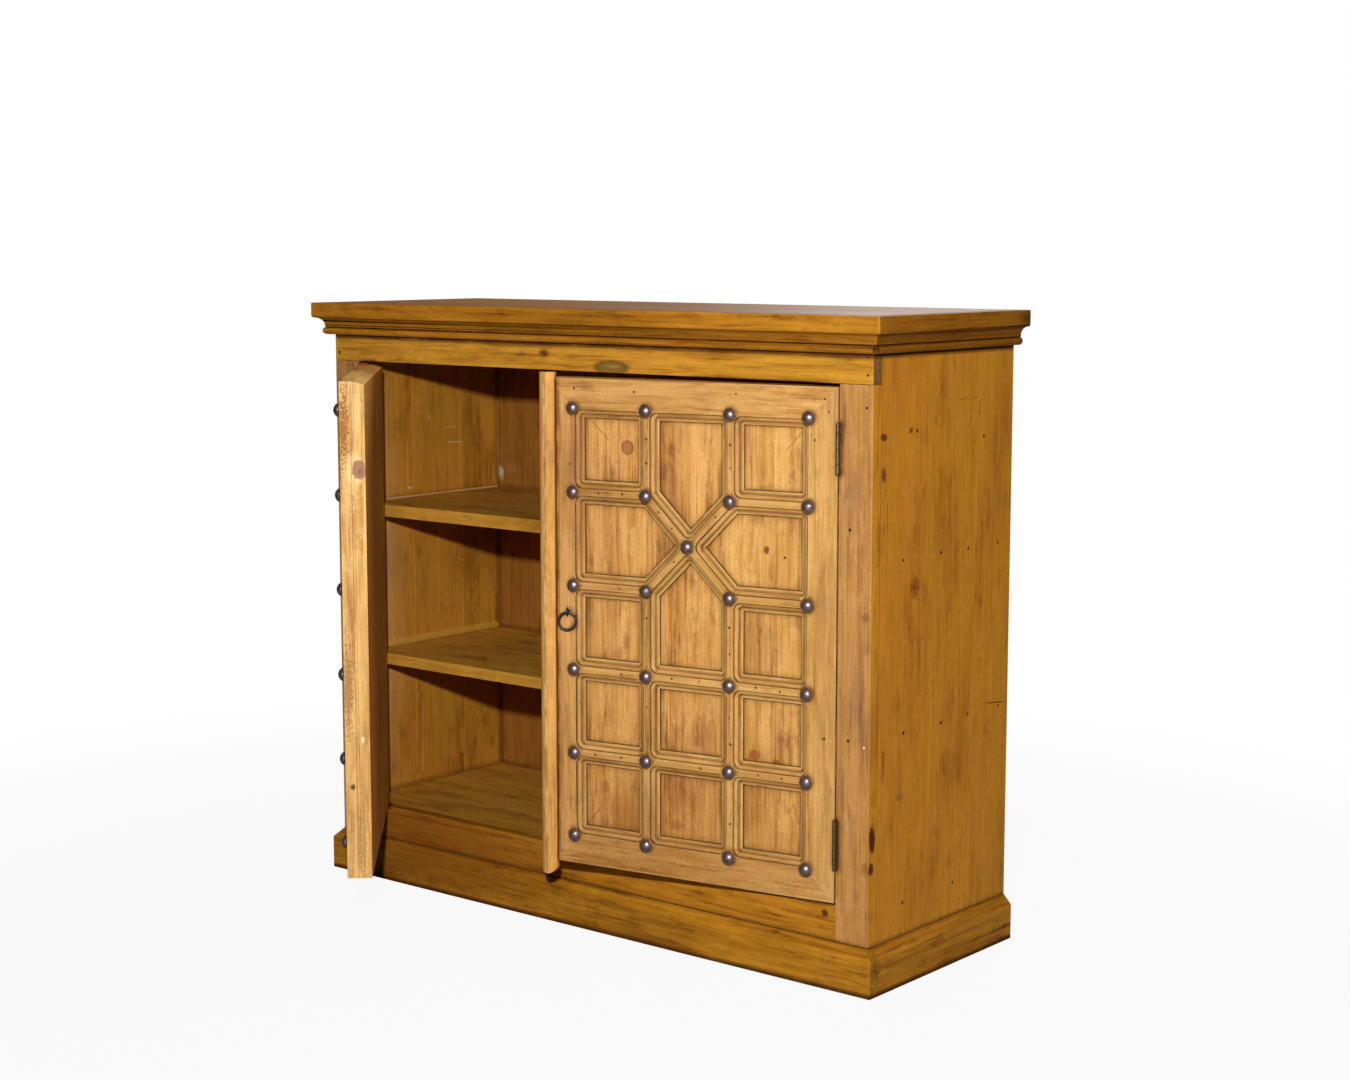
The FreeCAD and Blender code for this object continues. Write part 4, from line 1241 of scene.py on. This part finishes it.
    def router_bit(self) -> bpy.types.Object:
        """Return the turned shape that cuts the moulding round a corner, its axis along Y."""
        width, bow = self.moulding, self.ovolo_width
        rim, bevel = width + self.edge, self.edge * 0.3
        radius = (bow ** 2 + self.ovolo_drop ** 2) / (2 * self.ovolo_drop)
        profile = [(0, -self.clearance), (rim, -self.clearance), (rim, 0), (width + bevel, bevel),
                   (width, self.edge), (width, self.quirk)]
        for step in range(1, self.ovolo_steps + 1):
            run = bow * step / self.ovolo_steps
            profile.append((width - run, self.quirk + radius - math.sqrt(radius ** 2 - run ** 2)))
        profile.append((0, self.quirk + self.ovolo_drop + self.edge_fall))
        bpy.ops.mesh.primitive_plane_add(size=MM)
        bit = bpy.context.active_object
        with editing(bit, whole=True):
            bpy.ops.mesh.merge(type="CENTER")
            bpy.ops.transform.translate(value=(profile[0][0], profile[0][1], 0))
            for (out, deep), (next_out, next_deep) in zip(profile, profile[1:]):
                bpy.ops.mesh.extrude_vertices_move(TRANSFORM_OT_translate={
                    "value": (next_out - out, next_deep - deep, 0)})
            bpy.ops.mesh.select_all(action="SELECT")
            bpy.ops.mesh.spin(steps=self.turn_steps, angle=math.tau, center=(0, 0, 0), axis=BACK)
            bpy.ops.mesh.select_all(action="SELECT")
            bpy.ops.mesh.remove_doubles(threshold=WELD)
            bpy.ops.mesh.normals_make_consistent()
        return bit

    def corner_block(self, gap: float) -> bpy.types.Object:
        """Cut one rounded corner of the moulding out of a kite-shaped block.

        Args:
            gap: The angle between the two mouldings.

        Returns:
            The block, its foot point at the origin and its crown towards +X.
        """
        reach = self.moulding + self.edge * self.margin
        turn = (math.pi - gap) / 2
        deep, high = reach * math.cos(turn), reach * math.sin(turn)
        kite = {(-1, 0): (0, 0), (1, 0): (reach / math.cos(turn), 0), (0, 1): (deep, high),
                (0, -1): (deep, -high)}
        bpy.ops.mesh.primitive_circle_add(vertices=4, radius=1.0, fill_type="NGON",
                                          rotation=(math.pi / 2, 0, 0))
        block = bpy.context.active_object
        bpy.ops.object.transform_apply(location=True, rotation=True, scale=True)
        for index in range(len(kite)):
            start = block.data.vertices[index].co.copy()
            x, z = kite[round(start.x), round(start.z)]
            mark_out(block, "vertices", lambda vertex: vertex.index == index)
            with editing(block):
                bpy.ops.transform.translate(value=Vector((x, 0, z)) - start)
        with editing(block, whole=True):
            bpy.ops.mesh.extrude_region_move(TRANSFORM_OT_translate={"value": (0, self.relief, 0)})
            bpy.ops.mesh.select_all(action="SELECT")
            bpy.ops.mesh.normals_make_consistent()
        bit = self.router_bit()
        modify(block, "BOOLEAN", object=bit, operation="DIFFERENCE", solver="EXACT")
        bpy.data.objects.remove(bit)
        pick(block)
        bpy.ops.object.shade_smooth_by_angle(angle=SHARP)
        return block

    def build_corners(self) -> None:
        """Round the moulding off in every corner of the panels, as the router left it."""
        blocks: dict[int, bpy.types.Object] = {}
        pieces = []
        for foot, towards, gap in self.corners():
            key = round(math.degrees(gap))
            if key not in blocks:
                blocks[key] = self.corner_block(gap)
            copy = copy_piece(blocks[key])
            settle(copy, Matrix.Translation(foot + FRONT * HAIR) @ Matrix.Rotation(-towards, 4, "Y"))
            lay_grain(copy, self.shop.chance.choice((Grain.UPRIGHT, Grain.ACROSS)),
                      self.shop.chance.random())
            copy.data.materials.append(self.shop.material(HONEY))
            pieces.append(copy)
        for block in blocks.values():
            bpy.data.objects.remove(block)
        made = join(pieces, self.body + "_corner_mouldings")
        settle(made, self.rest)
        self.shop.hand_over(made, self.body, HONEY.slot)

    def build_studs(self) -> None:
        """Model one hammered dome and set a copy at every stud's place."""
        cap = self.stud_height - self.stud_rim
        ball = (self.stud_radius ** 2 + cap ** 2) / (2 * cap)
        segments, rings = self.stud_facets
        bpy.ops.mesh.primitive_uv_sphere_add(segments=segments, ring_count=rings, radius=ball,
                                             location=(0, 0, self.stud_height - ball))
        dome = bpy.context.active_object
        with editing(dome, whole=True):
            bpy.ops.mesh.bisect(plane_co=(0, 0, self.stud_rim), plane_no=UP, clear_inner=True)
            bpy.ops.mesh.select_mode(type="EDGE")
            bpy.ops.mesh.select_all(action="DESELECT")
            bpy.ops.mesh.select_non_manifold()
            bpy.ops.mesh.extrude_edges_move(TRANSFORM_OT_translate={"value": (0, 0, -self.stud_rim)})
            bpy.ops.mesh.edge_face_add()
            bpy.ops.mesh.select_all(action="SELECT")
            bpy.ops.transform.vertex_random(offset=self.stud_dents, seed=5)
            bpy.ops.mesh.normals_make_consistent()
        pick(dome)
        bpy.ops.object.shade_smooth_by_angle(angle=self.stud_smooth)
        settle(dome, Matrix.Rotation(math.pi / 2, 4, "X"))
        domes = []
        for stud in self.studs:
            copy = copy_piece(dome)
            turn = Matrix.Rotation(self.shop.chance.uniform(0, math.tau), 4, "Y")
            settle(copy, Matrix.Translation(stud) @ turn)
            domes.append(copy)
        bpy.data.objects.remove(dome)
        made = join(domes, self.body + "_studs_worn")
        made.data.materials.append(self.shop.material(BRONZE))
        settle(made, self.rest)
        self.shop.hand_over(made, self.body, BRONZE.slot, self.body + "_studs")

    def wood(self) -> list[BVHTree]:
        """Return search trees of the ribs."""
        trees = []
        for name in ("upright_ribs", "cross_ribs", "diagonal_ribs"):
            mesh = self.node(name).data
            trees.append(BVHTree.FromPolygons([vertex.co for vertex in mesh.vertices],
                                              [face.vertices for face in mesh.polygons]))
        return trees

    def rib_nails(self) -> list[Vector]:
        """Return where nails hold the ribs, a third of the way from stud to stud."""
        chance = self.shop.chance
        wood = self.wood()
        places = []
        for first, second in combinations(self.studs, 2):
            if (second - first).length > self.neighbour:
                continue
            for share in self.rib_shares:
                place = first.lerp(second, share + chance.uniform(-self.stray_along, self.stray_along))
                place += Vector((chance.uniform(-1, 1), 0, chance.uniform(-1, 1))) * self.stray_aside
                gaps = [tree.find_nearest(self.rest @ place)[3] for tree in wood]
                if chance.random() < self.nail_odds and min(gaps) < self.on_wood:
                    places.append(place)
        return places


@dataclass
class RightDoor(Door):
    """The right door, which also carries the cover strip, the pull's eye and the ring."""

    strip_edge: float = 0.7 * MM

    def build(self) -> None:
        """Make the door and what only this one has."""
        super().build()
        self.shop.timber("right_door_cover_strip", Grain.UPRIGHT, STRIP, self.body, self.strip_edge,
                         self.rest)
        self.shop.metalwork("right_door_pull_eye", IRON, self.body)
        self.shop.metalwork("pull_ring", IRON, "pull_ring")


@dataclass(frozen=True)
class Lamp:
    """A square lamp: its place, what it looks at, its width in metres and its power in watts."""

    name: str
    spot: tuple[float, float, float]
    target: tuple[float, float, float]
    size: float
    power: float

    def hang(self) -> None:
        """Add the lamp to the scene."""
        bpy.ops.object.light_add(type="AREA", location=self.spot)
        lamp = bpy.context.active_object
        lamp.name = self.name
        look = Vector(self.target) - Vector(self.spot)
        lamp.rotation_euler = look.to_track_quat("-Z", "Y").to_euler()
        lamp.data.size = self.size
        lamp.data.energy = self.power


@dataclass
class Studio:
    """Floor, lights and camera."""

    lamps: tuple[Lamp, ...] = (Lamp("key", (2.15, -2.62, 1.53), (0.1, 0.1, 0.5), 0.09, 110.0),
                               Lamp("rear", (-0.4, 1.9, 2.4), (0.0, 0.2, 1.0), 1.2, 30.0))
    paint: float = 0.36
    fade: tuple[float, float] = (1.0, 2.2)
    floor_size: float = 60.0
    sensor: float = 36.0
    near_glow: float = 0.93
    far_glow: float = 0.07
    backdrop: float = 0.992
    mirror: float = 0.08
    fill: float = 0.008
    lens: float = 61.43
    spot: Vector = field(default_factory=lambda: Vector((2.479, -2.776, 1.126)))
    yaw: float = 39.37
    pitch: float = 7.36

    def build(self) -> None:
        """Make the floor, the world, the lamps and the camera."""
        self.floor()
        self.world()
        for lamp in self.lamps:
            lamp.hang()
        bpy.ops.object.camera_add(location=self.spot, rotation=(
            math.radians(90 - self.pitch), 0, math.radians(self.yaw)))
        camera = bpy.context.active_object
        camera.name = "camera"
        camera.data.lens = self.lens
        camera.data.sensor_width = self.sensor
        bpy.context.scene.camera = camera
        bpy.context.scene.view_settings.view_transform = "Standard"

    def seen(self, graph: Graph) -> Value:
        """Return 1 for rays from the camera, also through glass."""
        looks = [graph.node("ShaderNodeLightPath", name)
                 for name in ("Is Camera Ray", "Is Transmission Ray")]
        return graph.math("MAXIMUM", looks[0], looks[1])

    def floor(self) -> None:
        """Lay a pale floor that fades to white and keeps the shadow."""
        bpy.ops.mesh.primitive_plane_add(size=self.floor_size)
        floor = bpy.context.active_object
        floor.name = "studio_floor"
        made = bpy.data.materials.new("studio_floor")
        graph = Graph(made)
        place = graph.node("ShaderNodeTexCoord", "Object")
        far = graph.step(graph.vector("LENGTH", place, output="Value"), *self.fade)
        paint = graph.node("ShaderNodeBsdfDiffuse", 0, None, {"Color": (self.paint,) * 3})
        glow = graph.node("ShaderNodeEmission", 0, None, {"Color": (1.0, 1.0, 1.0), "Strength": 1.0})
        share = self.seen(graph) * (far * self.far_glow + self.near_glow)
        surface = graph.node("ShaderNodeMixShader", 0, None, {0: share, 1: paint, 2: glow})
        graph.node("ShaderNodeOutputMaterial", 0, None, {"Surface": surface})
        floor.data.materials.append(made)

    def world(self) -> None:
        """Light the studio faintly, show it white, and let metal mirror it dimly."""
        world = bpy.data.worlds.new("studio")
        bpy.context.scene.world = world
        graph = Graph(world)
        mirrored = graph.node("ShaderNodeLightPath", "Is Glossy Ray")
        strength = self.seen(graph) * self.backdrop + mirrored * self.mirror + self.fill
        glow = graph.node("ShaderNodeBackground", 0, None,
                          {"Color": (1.0, 1.0, 1.0), "Strength": strength})
        graph.node("ShaderNodeOutputWorld", 0, None, {"Surface": glow})


def main() -> None:
    """Build the cabinet's looks piece by piece."""
    logging.basicConfig(level=logging.INFO, format="%(message)s")
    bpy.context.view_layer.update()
    shop = Workshop()
    Case(shop).build()
    Door(shop, "left").build()
    RightDoor(shop, "right").build()
    Studio().build()


if __name__ == "__main__":
    main()
